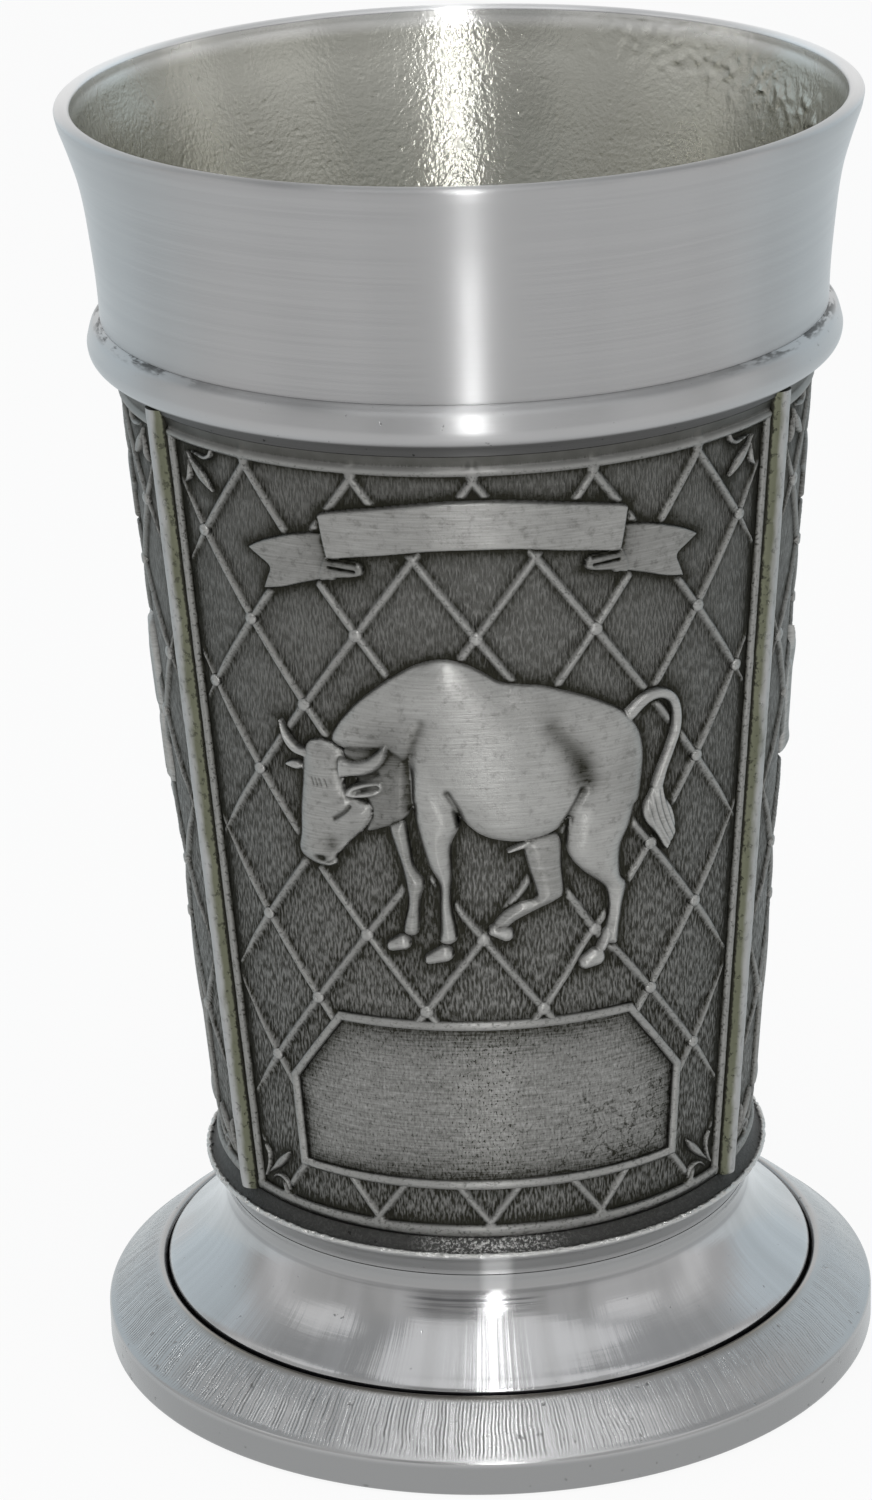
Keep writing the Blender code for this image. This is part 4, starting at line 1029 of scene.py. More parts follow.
dome = np.array([(1.0, -0.1), (1.0, 0.22), (0.9, 0.41), (0.6, 0.54), (0.02, 0.57)])
turn = -np.arange(BEAD_SIDES + 1) * 2 * math.pi / BEAD_SIDES
for node_at, node_height in nodes:
    bead_u = node_at + BEAD_RADIUS * dome[:, :1] * np.cos(turn)
    bead_z = node_height + BEAD_RADIUS * dome[:, :1] * np.sin(turn)
    bead_up = dome[:, 1:] + 0 * bead_u
    add_figure(bead_u, bead_z, bead_up, 0.12 + 0.6 * ease(0.4, 0.1, bead_up), 0.3, open_grid(*bead_u.shape))
print("grids of figures:", len(figure_points))

# %% [markdown]
# All grids become one mesh, with the points that a face uses, and the mesh is copied to the other two
# panels.

# %% Figures on the panels
all_points, all_faces = np.concatenate(figure_points), np.concatenate(figure_faces)
needed, all_faces = np.unique(all_faces, return_inverse=True)
first_figure = add_mesh("figure_front", all_points[needed].tolist(), all_faces.reshape(-1, 4).tolist(), 75)
for name, kind in (("dirt", "FLOAT"), ("figured", "FLOAT"), ("drawn", "FLOAT_VECTOR")):
    give_attribute(first_figure.data, name, np.concatenate(figure_values[name])[needed], kind)
give_attribute(first_figure.data, "stands", np.ones(len(needed)))
figures = threefold(first_figure, ("figure_right", "figure_left"))
for piece in figures:
    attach(piece, "root")
print("figures:", len(needed), "points,", len(first_figure.data.polygons), "faces on each panel")

# %% [markdown]
# ### Seam ribs
# A half-round bar covers each seam. It is swept up the cone, a little uneven, as a bar is that was soldered
# on and filed by hand.

# %% Sweep the ribs
rib_half, rib_proud = 1.36, 0.90
section = [(-rib_half, -1.5), (-rib_half, rib_proud - rib_half)]
section += [(-rib_half * math.cos(math.pi * i / 18),
             rib_proud - rib_half + rib_half * math.sin(math.pi * i / 18)) for i in range(1, 18)]
section += [(rib_half, rib_proud - rib_half), (rib_half, -1.5)]
rib_rows = np.linspace(panel_base, panel_top + 0.45, 240)
across = np.array([p[0] for p in section])[None, :] * (0.88 + 0.12 * ease(25, 60, rib_rows))[:, None]
heights = np.array([p[1] for p in section])[None, :] + 0 * across
rib_z = rib_rows[:, None] + 0 * across
heights = heights + np.where(heights > -1, 0.045 * uneven(across, rib_z * 0.6, 0 * across + 3, 1.5, 3), 0)
rib_points = np.stack([across, -field_radius(rib_z) - GROUND_DEPTH - heights, rib_z], -1).reshape(-1, 3) * MM
width = len(section)
rib_faces = [[i * width + j, (i + 1) * width + j, (i + 1) * width + (j + 1) % width,
              i * width + (j + 1) % width] for i in range(len(rib_rows) - 1) for j in range(width)]
rib_faces += [list(range(width)), [(len(rib_rows) - 1) * width + j for j in reversed(range(width))]]
first_rib = add_mesh("rib_right", rib_points.tolist(), rib_faces, 50)
first_rib.data.transform(Matrix.Rotation(third / 2, 4, "Z"))
crown = np.clip((heights - (rib_proud - rib_half)) / rib_half, 0, 1)
give_attribute(first_rib.data, "crown", crown)
ribs = threefold(first_rib, ("rib_back", "rib_left"))
for rib, side in zip(ribs, ("right", "back", "left")):
    stand_for(rib, f"seam_rib_{side}")

# %% [markdown]
# ## Finishes
# A finish is a small shader. Values in it are written as sums and products: the class below wraps a socket,
# and each operator adds the Math node that works it out. One method adds every other kind of node.


# %% A value in a shader
class Value:
    """A socket's value, which can be used in sums and products."""

    def __init__(self, finish, socket):
        self.finish = finish
        self.socket = socket

    def math(self, operation, first, second):
        return self.finish.node("ShaderNodeMath", {"operation": operation}, {0: first, 1: second})

    def __add__(self, other):
        return self.math("ADD", self, other)

    __radd__ = __add__

    def __sub__(self, other):
        return self.math("SUBTRACT", self, other)

    def __rsub__(self, other):
        return self.math("SUBTRACT", other, self)

    def __mul__(self, other):
        return self.math("MULTIPLY", self, other)

    __rmul__ = __mul__

    def __truediv__(self, other):
        return self.math("DIVIDE", self, other)

    def __pow__(self, other):
        return self.math("POWER", self, other)


print("values can be added, taken away, multiplied, divided and raised")

# %% [markdown]
# A tree wraps Blender's node tree, of a material or of the world. One method adds any kind of node: its
# settings first, because they can change its sockets. The short methods below it only name what is used
# often.


# %% A node tree and its one way to add a node
class Tree:
    """A node tree and the nodes that are added to it."""

    def __init__(self, node_tree):
        self.tree = node_tree

    def node(self, kind, settings, sockets, output=0):
        """Add a node: its settings first, then the values or links of its sockets."""
        node = self.tree.nodes.new(kind)
        for key, value in settings.items():
            if key == "stops":
                elements = node.color_ramp.elements
                elements.remove(elements[1])
                elements[0].position, elements[0].color = value[0]
                for place, colour in value[1:]:
                    elements.new(place).color = colour
            else:
                setattr(node, key, value)
        for key, value in sockets.items():
            self.join(node.inputs[key], value)
        return Value(self, node.outputs[output]) if node.outputs else node

    def join(self, socket, value):
        if isinstance(value, Value):
            self.tree.links.new(value.socket, socket)
        else:
            socket.default_value = value

    def scaled(self, vector, scale):
        return self.node("ShaderNodeVectorMath", {"operation": "MULTIPLY"}, {0: vector, 1: scale})

    def part(self, vector, axis):
        return self.node("ShaderNodeSeparateXYZ", {}, {"Vector": vector}, axis)

    def noise(self, vector, scale, detail=2.0, rough=0.5):
        """Noise of 0 to 1, with features about 1 / scale wide; a scale for each axis stretches them."""
        if isinstance(scale, tuple):
            vector, scale = self.scaled(vector, scale), 1.0
        return self.node("ShaderNodeTexNoise", {}, {"Vector": vector, "Scale": scale, "Detail": detail,
                                                    "Roughness": rough})

    def span(self, value, low, high, start=0.0, end=1.0):
        """Smooth step: start at low, end at high."""
        return self.node("ShaderNodeMapRange", {"interpolation_type": "SMOOTHSTEP"},
                         {"Value": value, "From Min": low, "From Max": high, "To Min": start, "To Max": end})

    def tint(self, share, first, second):
        """Mix of two colours."""
        return self.node("ShaderNodeMix", {"data_type": "RGBA"}, {0: share, 6: first, 7: second}, 2)


print("one method adds any node")

# %% [markdown]
# A finish is a tree with the one shader that a metal needs. What is the same all over is set on the
# shader's own sockets, and what changes over the surface is linked to them.


# %% A finish
class Finish(Tree):
    """A metal. Constants are set on the shader's own sockets."""

    def __init__(self, name, **constants):
        self.material = bpy.data.materials.new(name)
        self.material.use_nodes = True
        super().__init__(self.material.node_tree)
        self.shader = self.tree.nodes["Principled BSDF"]
        self.set(Metallic=1.0, **constants)

    def set(self, **sockets):
        for key, value in sockets.items():
            self.join(self.shader.inputs[key.replace("_", " ")], value)

    def place(self):
        """The place on the object, in metres of the part's own frame."""
        return self.node("ShaderNodeTexCoord", {}, {}, "Object")

    def direction(self, place):
        """The direction from the axis: the same along a radius."""
        return self.node("ShaderNodeVectorMath", {"operation": "NORMALIZE"},
                         {0: self.scaled(place, (1, 1, 0))})

    def radius(self, place):
        """The distance from the axis."""
        return self.node("ShaderNodeVectorMath", {"operation": "LENGTH"},
                         {0: self.scaled(place, (1, 1, 0))}, 1)

    def stored(self, name, output="Fac"):
        return self.node("ShaderNodeAttribute", {"attribute_name": name}, {}, output)

    def bump(self, height, distance, strength=1.0):
        return self.node("ShaderNodeBump", {}, {"Height": height, "Distance": distance, "Strength": strength})


def grey(value, warm=0.0):
    """A pewter grey; warm above 0 goes to olive, below 0 to blue."""
    return (value * (1 + 0.3 * warm), value * (1 + 0.22 * warm), value * (1 - 0.9 * warm), 1.0)


def coat(finish, *pieces):
    """Give pieces a finish."""
    for piece in pieces:
        piece.data.materials.append(finish.material)
    print(finish.material.name, "of", len(finish.tree.nodes), "nodes on", len(pieces), "pieces")


print("a middle grey of pewter:", grey(0.4))

# %% [markdown]
# ### Turned pewter
# The lathe leaves fine rings. They are too fine for a mesh, so a noise that is squeezed along the height
# bumps the surface, and the highlight is drawn out across the rings: that is what anisotropy does. The
# share is the same all over, so it is set on the shader's own socket.

# %% Collar outside
collar = Finish("turned_collar", Anisotropic=1.0, Anisotropic_Rotation=0.25)
place = collar.place()
rings = collar.noise(place, (26, 26, 3600), 3.0, 0.65)
broad = collar.noise(place, (9, 9, 900), 3.0, 0.6)
cloud = collar.noise(place, 60.0, 3.0)
line = collar.span(rings * 0.75 + broad * 0.25, 0.36, 0.64)
lip_share = collar.span(collar.part(place, "Z"), lip_top * MM - 0.00045, lip_top * MM - 0.00025)
bands = collar.noise(collar.direction(place), 5.0, 2.0)
metal = collar.tint(line * 0.2 + cloud * 0.25 + bands * 0.55, grey(0.412), grey(0.454, -0.01))
# Painted light: the lip band is far lighter on the far side of the cup than in front.
far_lip_light = collar.span(collar.part(place, "Y"), -0.02, 0.02)
collar.set(Base_Color=collar.tint(lip_share, metal, collar.tint(far_lip_light, grey(0.46), grey(0.88))),
           Roughness=0.31 + 0.05 * line + 0.05 * cloud,
           Normal=collar.bump(rings * 0.8 + broad * 0.2, 0.00003, 0.4))
coat(collar, cup)

# %% [markdown]
# ### Cast inside
# The inside was never turned, so it is warm and rough: an orange-peel grain, pits that catch light, and
# only a lip band that was turned bright. All of it is too fine for a mesh and is left to a bump.

# %% Cup inside
cast = Finish("cast_inside", Anisotropic=0.8, Anisotropic_Rotation=0.25)
place = cast.place()
lip_band = cast.span(cast.part(place, "Z"), lip_top * MM - 0.0024, lip_top * MM - 0.0010)
peel = cast.noise(place, 1400.0, 2.0, 0.55)
fine = cast.noise(place, 2800.0, 2.0)
pits = cast.span(cast.node("ShaderNodeTexVoronoi", {}, {"Vector": place, "Scale": 520.0}), 0.06, 0.20)
rings = cast.noise(place, (40, 40, 1500), 2.0)
stain = cast.noise(place, 90.0, 3.0)
skin = peel * 0.65 + fine * 0.4 + pits * 0.35
wall = cast.tint(stain, grey(0.385, 0.11), grey(0.475, 0.08))
cast.set(Base_Color=cast.tint(lip_band, wall, grey(0.66, 0.03)),
         Roughness=0.22 + 0.10 * stain,
         Normal=cast.bump(skin * (1 - 0.8 * lip_band) + rings * 0.2, 0.00009, 0.65))
coat(cast, cup, cup_base)

# %% [markdown]
# ### Polished beads
# The beads were held to a buff, so they shine and their rings are nearly gone. Dark patina is left in pits,
# along the seam under the collar and in the gutter behind the lower bead's crest, whose worn specks are
# painted lighter in the middle as lamp light. The upper bead's underside is painted dark as shade, and the
# lower bead has a painted highlight streak down its middle and a lighter grey on its upper part. One finish
# serves both beads, and the height tells them apart.

# %% Finish of the beads
buffed = Finish("buffed_pewter", Anisotropic=0.9, Anisotropic_Rotation=0.25)
place = buffed.place()
rings = buffed.noise(place, (60, 60, 2600), 3.0, 0.6)
cloud = buffed.noise(place, 110.0, 3.0)
specks = buffed.span(buffed.noise(place, 1500.0, 2.0), 0.72, 0.78)
height, aside = buffed.part(place, "Z"), buffed.part(place, "X")
sides = buffed.span(aside * aside, 0.018 ** 2, 0.030 ** 2)
seam_line = buffed.span(height, bead_top * MM - 0.0007, bead_top * MM - 0.0001)
smears = buffed.span(buffed.noise(buffed.scaled(place, (1, 1, 6)), 260.0, 3.0, 0.65), 0.48, 0.62)
# Painted shade: the underside of the upper bead is darkened.
shade_under_bead = buffed.span(height, bead_middle * MM - 0.0009, bead_middle * MM - 0.0013)
shade_under_bead = shade_under_bead * buffed.span(height, 0.09, 0.095)
bead_edge = low_bead_top * MM
low = buffed.span(height, 0.03, 0.025)
radius = buffed.radius(place)
grit = buffed.noise(place, 3400.0, 4.0, 0.75)
gutter = buffed.span(radius + (grit - 0.5) * 0.0006, 0.02750, 0.02725) * low
gutter = gutter * buffed.span(height, bead_edge - 0.0012, bead_edge - 0.0010)
crest = buffed.span(height, bead_edge - 0.0012, bead_edge - 0.0009) * low
# Painted light: the gutter's worn specks are lighter in the middle of the front and the back.
middle = buffed.span(aside * aside, 0.008 ** 2, 0.002 ** 2)
rubbed_and_lit = buffed.span(grit, 0.47, 0.62) * (0.05 + 0.62 * middle)
# The soil is dark patina in pits, seam and gutter, together with the painted shade under the upper bead.
soil_and_shade = specks * 0.4 + seam_line * smears * (0.05 + 0.8 * sides)
soil_and_shade = soil_and_shade + gutter * (0.94 - rubbed_and_lit) + shade_under_bead * 0.8
metal = buffed.tint(cloud, grey(0.40), grey(0.46, -0.01))
# Painted highlight: a light streak down the middle of the lower bead, with darker grey beside it.
painted_streak = buffed.span((aside - 0.0004 + (cloud - 0.5) * 0.001) ** 2, 0.0018 ** 2, 0.0003 ** 2)
under_crest = buffed.span(height, bead_edge - 0.0022, bead_edge - 0.0014)
low_metal = buffed.tint(painted_streak * 0.8 + under_crest * 0.4, grey(0.34), grey(0.75))
bright = buffed.tint(crest * grit, buffed.tint(low, metal, low_metal), grey(0.62, 0.05))
buffed.set(Base_Color=buffed.tint(soil_and_shade, bright, grey(0.035, 0.05)),
           Roughness=0.30 + 0.08 * cloud + 0.05 * rings + 0.15 * soil_and_shade,
           Normal=buffed.bump(rings * 0.6 + cloud * 0.4 - specks * 0.5 + crest * grit * 2.5, 0.00005, 0.7))
coat(buffed, upper_bead, lower_bead)

# %% [markdown]
# ### Polished neck
# The neck was buffed harder and shows the lamp above it. The buff left soft upright bands. Dark streaks in
# rings across its front are a painted reflection, and a painted highlight streak runs down the middle of its
# waist.

# %% Finish of the neck
trumpet = Finish("buffed_trumpet", Anisotropic=0.5, Anisotropic_Rotation=0.25)
place = trumpet.place()
height, aside = trumpet.part(place, "Z"), trumpet.part(place, "X")
heading = trumpet.direction(place)
rings = trumpet.noise(place, (40, 40, 2400), 3.0, 0.6)
cloud = trumpet.noise(place, 110.0, 3.0)
bands = trumpet.span(trumpet.noise(heading, 7.0, 2.0), 0.35, 0.65)
fingers = trumpet.noise(heading, 42.0, 3.0, 0.6) * trumpet.span(height, 0.0145, 0.0105)
specks = trumpet.span(trumpet.noise(place, 1500.0, 2.0), 0.72, 0.78)
ring_line = trumpet.span(height, 0.01465, 0.01490) * trumpet.span(height, 0.01530, 0.01505)
beside = trumpet.span(aside, -0.0090, -0.0060) * trumpet.span(aside, 0.0055, 0.0025)
# Painted reflection: dark streaks in rings across the front of the neck stand for a dark band of the room.
dark_reflection = trumpet.span(height, 0.0130, 0.0134) * trumpet.span(height, 0.0147, 0.0143)
dark_reflection = dark_reflection * trumpet.span(rings, 0.44, 0.58) * beside
metal = trumpet.tint(bands * 0.7 + cloud * 0.3, grey(0.40), grey(0.49, -0.01))
# Painted highlight: a light streak down the middle of the waist, with darker grey beside it.
waist = trumpet.span(height, 0.0142, 0.0156)
painted_streak = trumpet.span((aside - 0.0004 + (cloud - 0.5) * 0.001) ** 2, 0.0018 ** 2, 0.0003 ** 2)
metal = trumpet.tint(waist, metal, trumpet.tint(painted_streak, grey(0.31), grey(0.50)))
trumpet.set(Base_Color=trumpet.tint(specks * 0.4 + ring_line * 0.22 + dark_reflection * 0.6, metal, grey(0.07, -0.1)),
            Roughness=0.12 + 0.05 * cloud + 0.05 * rings + 0.05 * fingers,
            Normal=trumpet.bump(rings * 0.5 + cloud * 0.3 - specks * 0.5 + fingers * 1.0, 0.00005, 0.6))
coat(trumpet, neck)

# %% [markdown]
# ### Filed foot ring
# The sloping top was filed from the middle outwards, which left short radial marks. Noise on the direction
# from the axis alone gives lines that run along the radius. The groove beside the neck is a dark joint,
# painted almost black at the front as shade. The front middle of the ring is painted lighter than its sides,
# and the upright edge darker than the slope, as painted light and shade.

# %% Finish of the foot ring
filed = Finish("filed_pewter")
place = filed.place()
direction = filed.direction(place)
radius = filed.radius(place)
height = filed.part(place, "Z")
angle = filed.node("ShaderNodeMath", {"operation": "ARCTAN2"},
                   {0: filed.part(place, "X"), 1: filed.part(place, "Y")})
stray = filed.noise(place, 150.0, 3.0)
marks = filed.node("ShaderNodeMath", {"operation": "SINE"}, {0: angle * 620 + stray * 30})
left = filed.span(filed.part(direction, "X"), 0.45, -0.10, 0.35, 1.0)
where = filed.span(filed.noise(direction, 60.0, 3.0, 0.6), 0.32, 0.60) * left
slope_share = filed.span(height, 0.0036, 0.0043) * filed.span(height, 0.0076, 0.0070)
facing = filed.span(filed.part(place, "Y"), -0.008, -0.022)
# Partly painted shade: the groove is a dark joint all round, and almost black only at the front.
groove = filed.span(radius, 0.0328, 0.0325) * (0.12 + 0.88 * facing)
brown = filed.span(radius, 0.0336, 0.0326) * facing
# Painted light: the front middle of the ring takes a lighter copy of the metal than its sides.
middle = filed.span(filed.part(direction, "X") ** 2, 0.50, 0.02) * facing
cloud = filed.noise(place, 90.0, 3.0)
fine = filed.noise(place, 2200.0, 2.0)
pits = filed.span(filed.noise(place, 900.0, 2.0), 0.68, 0.76)
patchy = filed.span(filed.noise(direction, 150.0, 2.0, 0.6), 0.35, 0.6)
lines = filed.span(marks, 0.0, 0.9) * slope_share * where * (0.4 + 0.6 * patchy)
shine = filed.span(marks, -0.4, -1.0) * slope_share * where * filed.span(patchy, 1.0, 0.3)
# Painted shade: the upright edge is darker than the sloping top.
upright = filed.span(height, 0.0036, 0.0028)
shaded_side_metal = filed.tint(cloud, grey(0.37), grey(0.44))
lit_front_metal = filed.tint(cloud, grey(0.43), grey(0.50))
metal = filed.tint(upright, filed.tint(middle, shaded_side_metal, lit_front_metal), grey(0.30))
shiny = filed.tint(shine * 0.7, metal, grey(0.74))
marked = filed.tint(lines * 0.75 + pits * 0.5, shiny, grey(0.12, 0.03))
browned = filed.tint(brown * 0.6, marked, (0.16, 0.12, 0.06, 1))
filed.set(Base_Color=filed.tint(groove, browned, grey(0.015, -0.2)),
          Roughness=0.20 + 0.10 * cloud + 0.2 * groove,
          Normal=filed.bump(fine * 0.08 - lines * 0.8 - pits * 0.4, 0.00012, 0.8))
coat(filed, ring)

# %% [markdown]
# ### Darkened relief
# The castings were blackened and rubbed bright again. The dirt and painted shading that were worked out from
# the heights mix dark patina with bright metal. A punched ground of short upright dashes covers the field,
# the figure keeps the horizontal lines of the buff, and the plate is scratched.

# %% Marks on the relief
aged = Finish("darkened_relief", Specular_Tint=(0.8, 0.8, 0.8, 1), Anisotropic=0.8, Anisotropic_Rotation=0.25)
drawn_at = aged.stored("drawn", "Vector")
stored_dirt_and_shading = aged.stored("dirt")
figure_share = aged.stored("figured")
raised = aged.stored("stands")
plain_share = aged.stored("plain")
dashes = aged.span(aged.noise(drawn_at, (4.8, 1.15, 0), 2.0, 0.5), 0.34, 0.66)
mottle = aged.noise(drawn_at, 0.5, 3.0)
fine = aged.noise(drawn_at, 5.0, 2.0)
buff_lines = aged.noise(drawn_at, (0.25, 5.5, 0), 3.0, 0.6)
weave = aged.noise(drawn_at, (4.5, 1.6, 0), 3.0, 0.6)
brush = aged.noise(drawn_at, (0.35, 5.0, 0), 3.0, 0.6)
specks = aged.span(aged.noise(drawn_at, (4.2, 2.6, 0), 3.0, 0.6), 0.56, 0.66)
ground_share = (1 - raised) * (1 - plain_share)
stains = aged.span(aged.noise(drawn_at, 1.2, 4.0, 0.65), 0.50, 0.72)
curl = aged.noise(drawn_at, 0.42, 2.0) - 0.5
aside, up = aged.part(drawn_at, "X"), aged.part(drawn_at, "Y")
scuffs = aged.span(curl * curl, 0.0014, 0.0) * aged.span(fine, 0.40, 0.55)
scuffs = scuffs * aged.span(aside, 5.0, 9.0) * aged.span(up, 37.0, 34.0)
pocks = aged.span(aged.noise(drawn_at, 3.4, 3.0, 0.65), 0.54, 0.66) * raised * (1 - plain_share)
pocks = pocks * (1 - figure_share * 0.8) * aged.span(up, ridge_top + 0.18, ridge_top - 0.22)
print("marks so far:", len(aged.tree.nodes), "nodes")

# %% [markdown]
# The darkness of the relief is the stored dirt and painted shading with the marks taken in: dashes grow
# deeper towards the foot, the plate gets more dark specks in its middle, partly as painted shade over its
# highlight, and the figure is worn along the lines of the buff. Between 0 and 1 it mixes bright metal with
# patina.

# %% Finish of the relief
# Partly painted shade: the plate gets more dark specks in its middle, which tones down its highlight.
middle_specks_and_shade = aged.span(aside * aside, 16.0, 1.0, 0.0, 0.35)
plate_wear = (0.5 - weave) + (0.5 - brush) * 0.9 + specks * (0.32 + middle_specks_and_shade) + scuffs * 0.36
figure_wear = (0.5 - buff_lines) * 0.5 + stains * 0.22
dash_depth = aged.span(up, 95.0, 30.0, 0.18, 0.50)
wear_and_shading = stored_dirt_and_shading + ground_share * (0.5 - dashes) * dash_depth + (0.5 - mottle) * 0.2
wear_and_shading = wear_and_shading + plain_share * plate_wear + figure_share * figure_wear + pocks * 0.3
dark = aged.node("ShaderNodeMapRange", {}, {"Value": wear_and_shading})
metal = aged.tint(fine * 0.5 + buff_lines * 0.5, grey(0.36, 0.04), grey(0.46, 0.02))
strokes = ground_share * dashes + figure_share * buff_lines * 0.5 + plain_share * (brush + weave) * 0.2
aged.set(Base_Color=aged.tint(dark, metal, grey(0.03, 0.22)),
         Roughness=0.42 + 0.12 * dark + 0.08 * fine - 0.07 * figure_share,
         Normal=aged.bump(strokes + fine * 0.1 - pocks * 0.4, 0.00010, 0.8))
coat(aged, *panels, *figures)

# %% [markdown]
# ### Aged bars
# The bars over the seams are bright on the crown, where hands rub them, and turn olive down their sides,
# where the patina was left. The height on the bar is stored with its points, and a cloudy noise frays the
# border.

# %% Finish of the seam ribs
old_bar = Finish("aged_bar", Specular_Tint=(0.85, 0.85, 0.85, 1))
place = old_bar.place()
crown_share = old_bar.stored("crown")
cloud = old_bar.noise(old_bar.scaled(place, (1, 1, 0.35)), 420.0, 4.0, 0.65)
fine = old_bar.noise(place, 2400.0, 2.0)
pits = old_bar.span(old_bar.noise(place, 1500.0, 3.0, 0.6), 0.56, 0.68)
olive = old_bar.span(crown_share + (cloud - 0.5) * 0.5, 1.0, 0.68)
dark = old_bar.span(crown_share + (cloud - 0.5) * 0.2 + (fine - 0.5) * 0.3, 0.44, 0.32)
rubbed_metal = old_bar.tint(cloud, grey(0.33, 0.01), grey(0.41, 0.01))
patina = old_bar.tint(cloud, (0.105, 0.110, 0.076, 1), (0.175, 0.180, 0.128, 1))
metal = old_bar.tint(olive, rubbed_metal, patina)
old_bar.set(Base_Color=old_bar.tint(dark + pits * (0.08 + 0.45 * olive), metal, grey(0.04, 0.2)),
            Roughness=0.36 + 0.2 * dark + 0.08 * fine,
            Normal=old_bar.bump(cloud * 0.6 + fine * 0.4 - pits * 0.8, 0.00010, 0.8))
coat(old_bar, *ribs)

# %% [markdown]
# ## Studio
# The beaker stands on a pale floor that keeps its soft shadow. More light would wash out the metal, so the
# floor shows white to the camera and in reflections only: the Light Path node tells the kinds of ray apart.

# %% Studio floor
floor_mesh = bpy.data.meshes.new("studio_floor")
HALF_FLOOR = 3.0
floor_corners = [(x * HALF_FLOOR, y * HALF_FLOOR, 0) for x, y in ((-1, -1), (1, -1), (1, 1), (-1, 1))]
floor_mesh.from_pydata(floor_corners, [], [(0, 1, 2, 3)])
studio_floor = bpy.data.objects.new("studio_floor", floor_mesh)
bpy.context.scene.collection.objects.link(studio_floor)
studio_floor.location.z = -0.0002
pale = bpy.data.materials.new("pale_floor")
pale.use_nodes = True
pale.node_tree.nodes.clear()
floor_tree = Tree(pale.node_tree)


def ray_kinds(tree):
    """1 or 0 for rays from the camera, for mirrored ones and for those that glass lets through."""
    kinds = ("Camera", "Glossy", "Transmission")
    return [tree.node("ShaderNodeLightPath", {}, {}, f"Is {kind} Ray") for kind in kinds]


straight, mirrored_ray, through = ray_kinds(floor_tree)
in_view = floor_tree.node("ShaderNodeClamp", {}, {"Value": straight + mirrored_ray + through})
matte = floor_tree.node("ShaderNodeBsdfDiffuse", {}, {"Color": (0.86, 0.86, 0.86, 1)})
depth = floor_tree.part(floor_tree.node("ShaderNodeTexCoord", {}, {}, "Object"), "Y")
cool = floor_tree.tint(mirrored_ray * floor_tree.span(depth, -0.1, 0.1), (1, 1, 1, 1), (0.90, 0.97, 1.0, 1))
white = floor_tree.node("ShaderNodeEmission", {}, {"Color": cool, "Strength": 1.0})
mixed = floor_tree.node("ShaderNodeMixShader", {}, {0: 0.9 * in_view, 1: matte, 2: white})
floor_tree.node("ShaderNodeOutputMaterial", {}, {"Surface": mixed})
floor_mesh.materials.append(pale)
print("floor", 2 * HALF_FLOOR, "m wide")

# %% [markdown]
# A metal shows the room it stands in. Seen from the beaker, the room is white and a little blue behind,
# grey at the sides and darkest where the photographer stood. A ramp over the compass direction holds these
# tones.

# %% World
world = bpy.data.worlds.new("studio")
bpy.context.scene.world = world
world.use_nodes = True
room = Tree(world.node_tree)
towards = room.node("ShaderNodeTexCoord", {}, {}, "Generated")
ahead = room.part(towards, "Y")
compass = room.node("ShaderNodeMath", {"operation": "ARCTAN2"}, {0: room.part(towards, "X"), 1: ahead * -1})
sky_blue = (0.83, 0.93, 0.99)
tones = [(-180, 1.0), (-160, 1.0), (-150, sky_blue), (-122, sky_blue), (-110, 0.66), (-104, 0.66),
         (-97, 0.88), (-91, 0.74), (-80, 0.70), (-56, 0.62), (-52, 0.56), (-48, 0.70), (-34, 0.66),
         (-28, 0.42), (-8, 0.36), (0, 0.45), (8, 0.54), (36, 0.64), (39, 0.48), (43, 0.72), (70, 0.70),
         (80, 0.70), (88, 0.95), (94, 0.95), (102, 0.66), (110, 0.66), (122, sky_blue), (150, sky_blue),
         (160, 1.0), (180, 1.0)]
colours = [tone if isinstance(tone, tuple) else (tone,) * 3 for _, tone in tones]
stops = [((angle + 180) / 360, colour + (1.0,)) for (angle, _), colour in zip(tones, colours)]
walls = room.node("ShaderNodeValToRGB", {"stops": stops}, {"Fac": compass / (2 * math.pi) + 0.5})
walls_and_top = room.tint(room.span(room.part(towards, "Z"), 0.5, 0.8), walls, (0.50, 0.51, 0.52, 1))
far_wall = room.span(ahead, 0.88, 0.94)
straight, mirrored_ray, through = ray_kinds(room)
mirrored_wall = (mirrored_ray + through) * far_wall
backdrop = room.node("ShaderNodeMath", {"operation": "MAXIMUM"}, {0: straight, 1: mirrored_wall})
background = world.node_tree.nodes["Background"]
room.join(background.inputs["Color"], room.tint(backdrop, walls_and_top, (1, 1, 1, 1)))
print("room of", len(stops), "tones")

# %% [markdown]
# The long highlight comes from three narrow strips, one above the other, because each piece leans in its
# own way and mirrors another height of the room. Two small windows shine on the foot from the sides, and a
# wide panel overhead gives the even light. All are weak: the metal should mirror them, not glare.


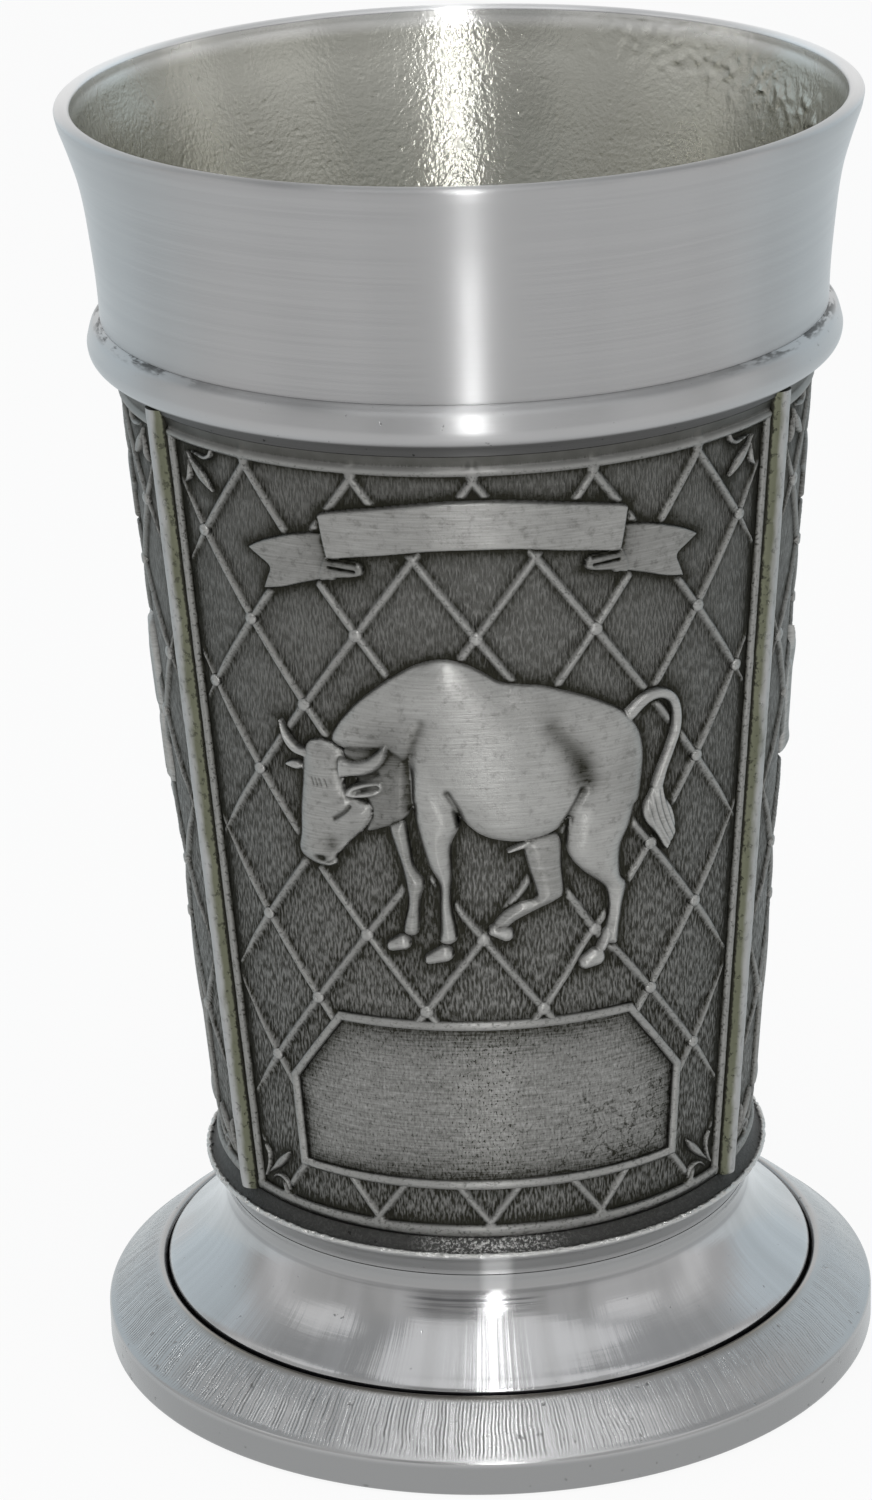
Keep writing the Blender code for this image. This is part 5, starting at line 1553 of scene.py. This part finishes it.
# %% Lamps
def soft_lamp(name, place, target, width, height, power, turn=0.0):
    lamp = bpy.data.lights.new(name, "AREA")
    lamp.shape = "RECTANGLE"
    lamp.size = width
    lamp.size_y = height
    lamp.energy = power
    holder = bpy.data.objects.new(name, lamp)
    bpy.context.scene.collection.objects.link(holder)
    holder.location = place
    holder.rotation_euler = (Vector(target) - Vector(place)).to_track_quat("-Z", "Y").to_euler()
    holder.rotation_euler.rotate_axis("Z", turn)
    return holder


soft_lamp("low_strip", (0.012, -0.34, 0.065), (0, 0, 0.07), 0.020, 0.13, 0.0245)
soft_lamp("tall_strip", (0.02, -1.0, 0.36), (0, 0, 0.09), 0.06, 0.36, 1.20)
soft_lamp("high_strip", (0.0, -0.56, 0.85), (0, 0.11, 0.12), 0.022, 1.25, 0.95)
soft_lamp("left_window", (-0.82, -0.17, 0.72), (0, 0, 0.02), 0.42, 0.34, 0.24)
soft_lamp("right_window", (0.79, -0.43, 0.64), (0, 0, 0.02), 0.42, 0.34, 0.16)
soft_lamp("overhead", (0.025, -0.635, 0.95), (0.025, -0.635, 0), 1.17, 1.17, 2.5, math.radians(-17))
print("six lamps lit")

# %% [markdown]
# ## Camera
# A long lens, a little above the rim, turned by under two degrees, as the photograph was taken.

# %% Camera
lens = bpy.data.cameras.new("camera")
lens.sensor_fit = "VERTICAL"
lens.sensor_height = 36
lens.lens = 115.15
camera = bpy.data.objects.new("camera", lens)
bpy.context.scene.collection.objects.link(camera)
elevation, roll, distance = math.radians(20.91), math.radians(-1.70), 0.4626
target = Vector((-0.00384, 0, 0.06022))
camera.location = target + distance * Vector((0, -math.cos(elevation), math.sin(elevation)))
facing = (target - camera.location).to_track_quat("-Z", "Y").to_matrix()
camera.rotation_euler = (facing @ Matrix.Rotation(roll, 3, "Z")).to_euler()
bpy.context.scene.camera = camera
bpy.context.scene.view_settings.view_transform = "Standard"
print("camera at", [round(v, 4) for v in camera.location])

# %% [markdown]
# ## Last step
# The view layer is brought up to date.

# %% Update the view layer
bpy.context.view_layer.update()
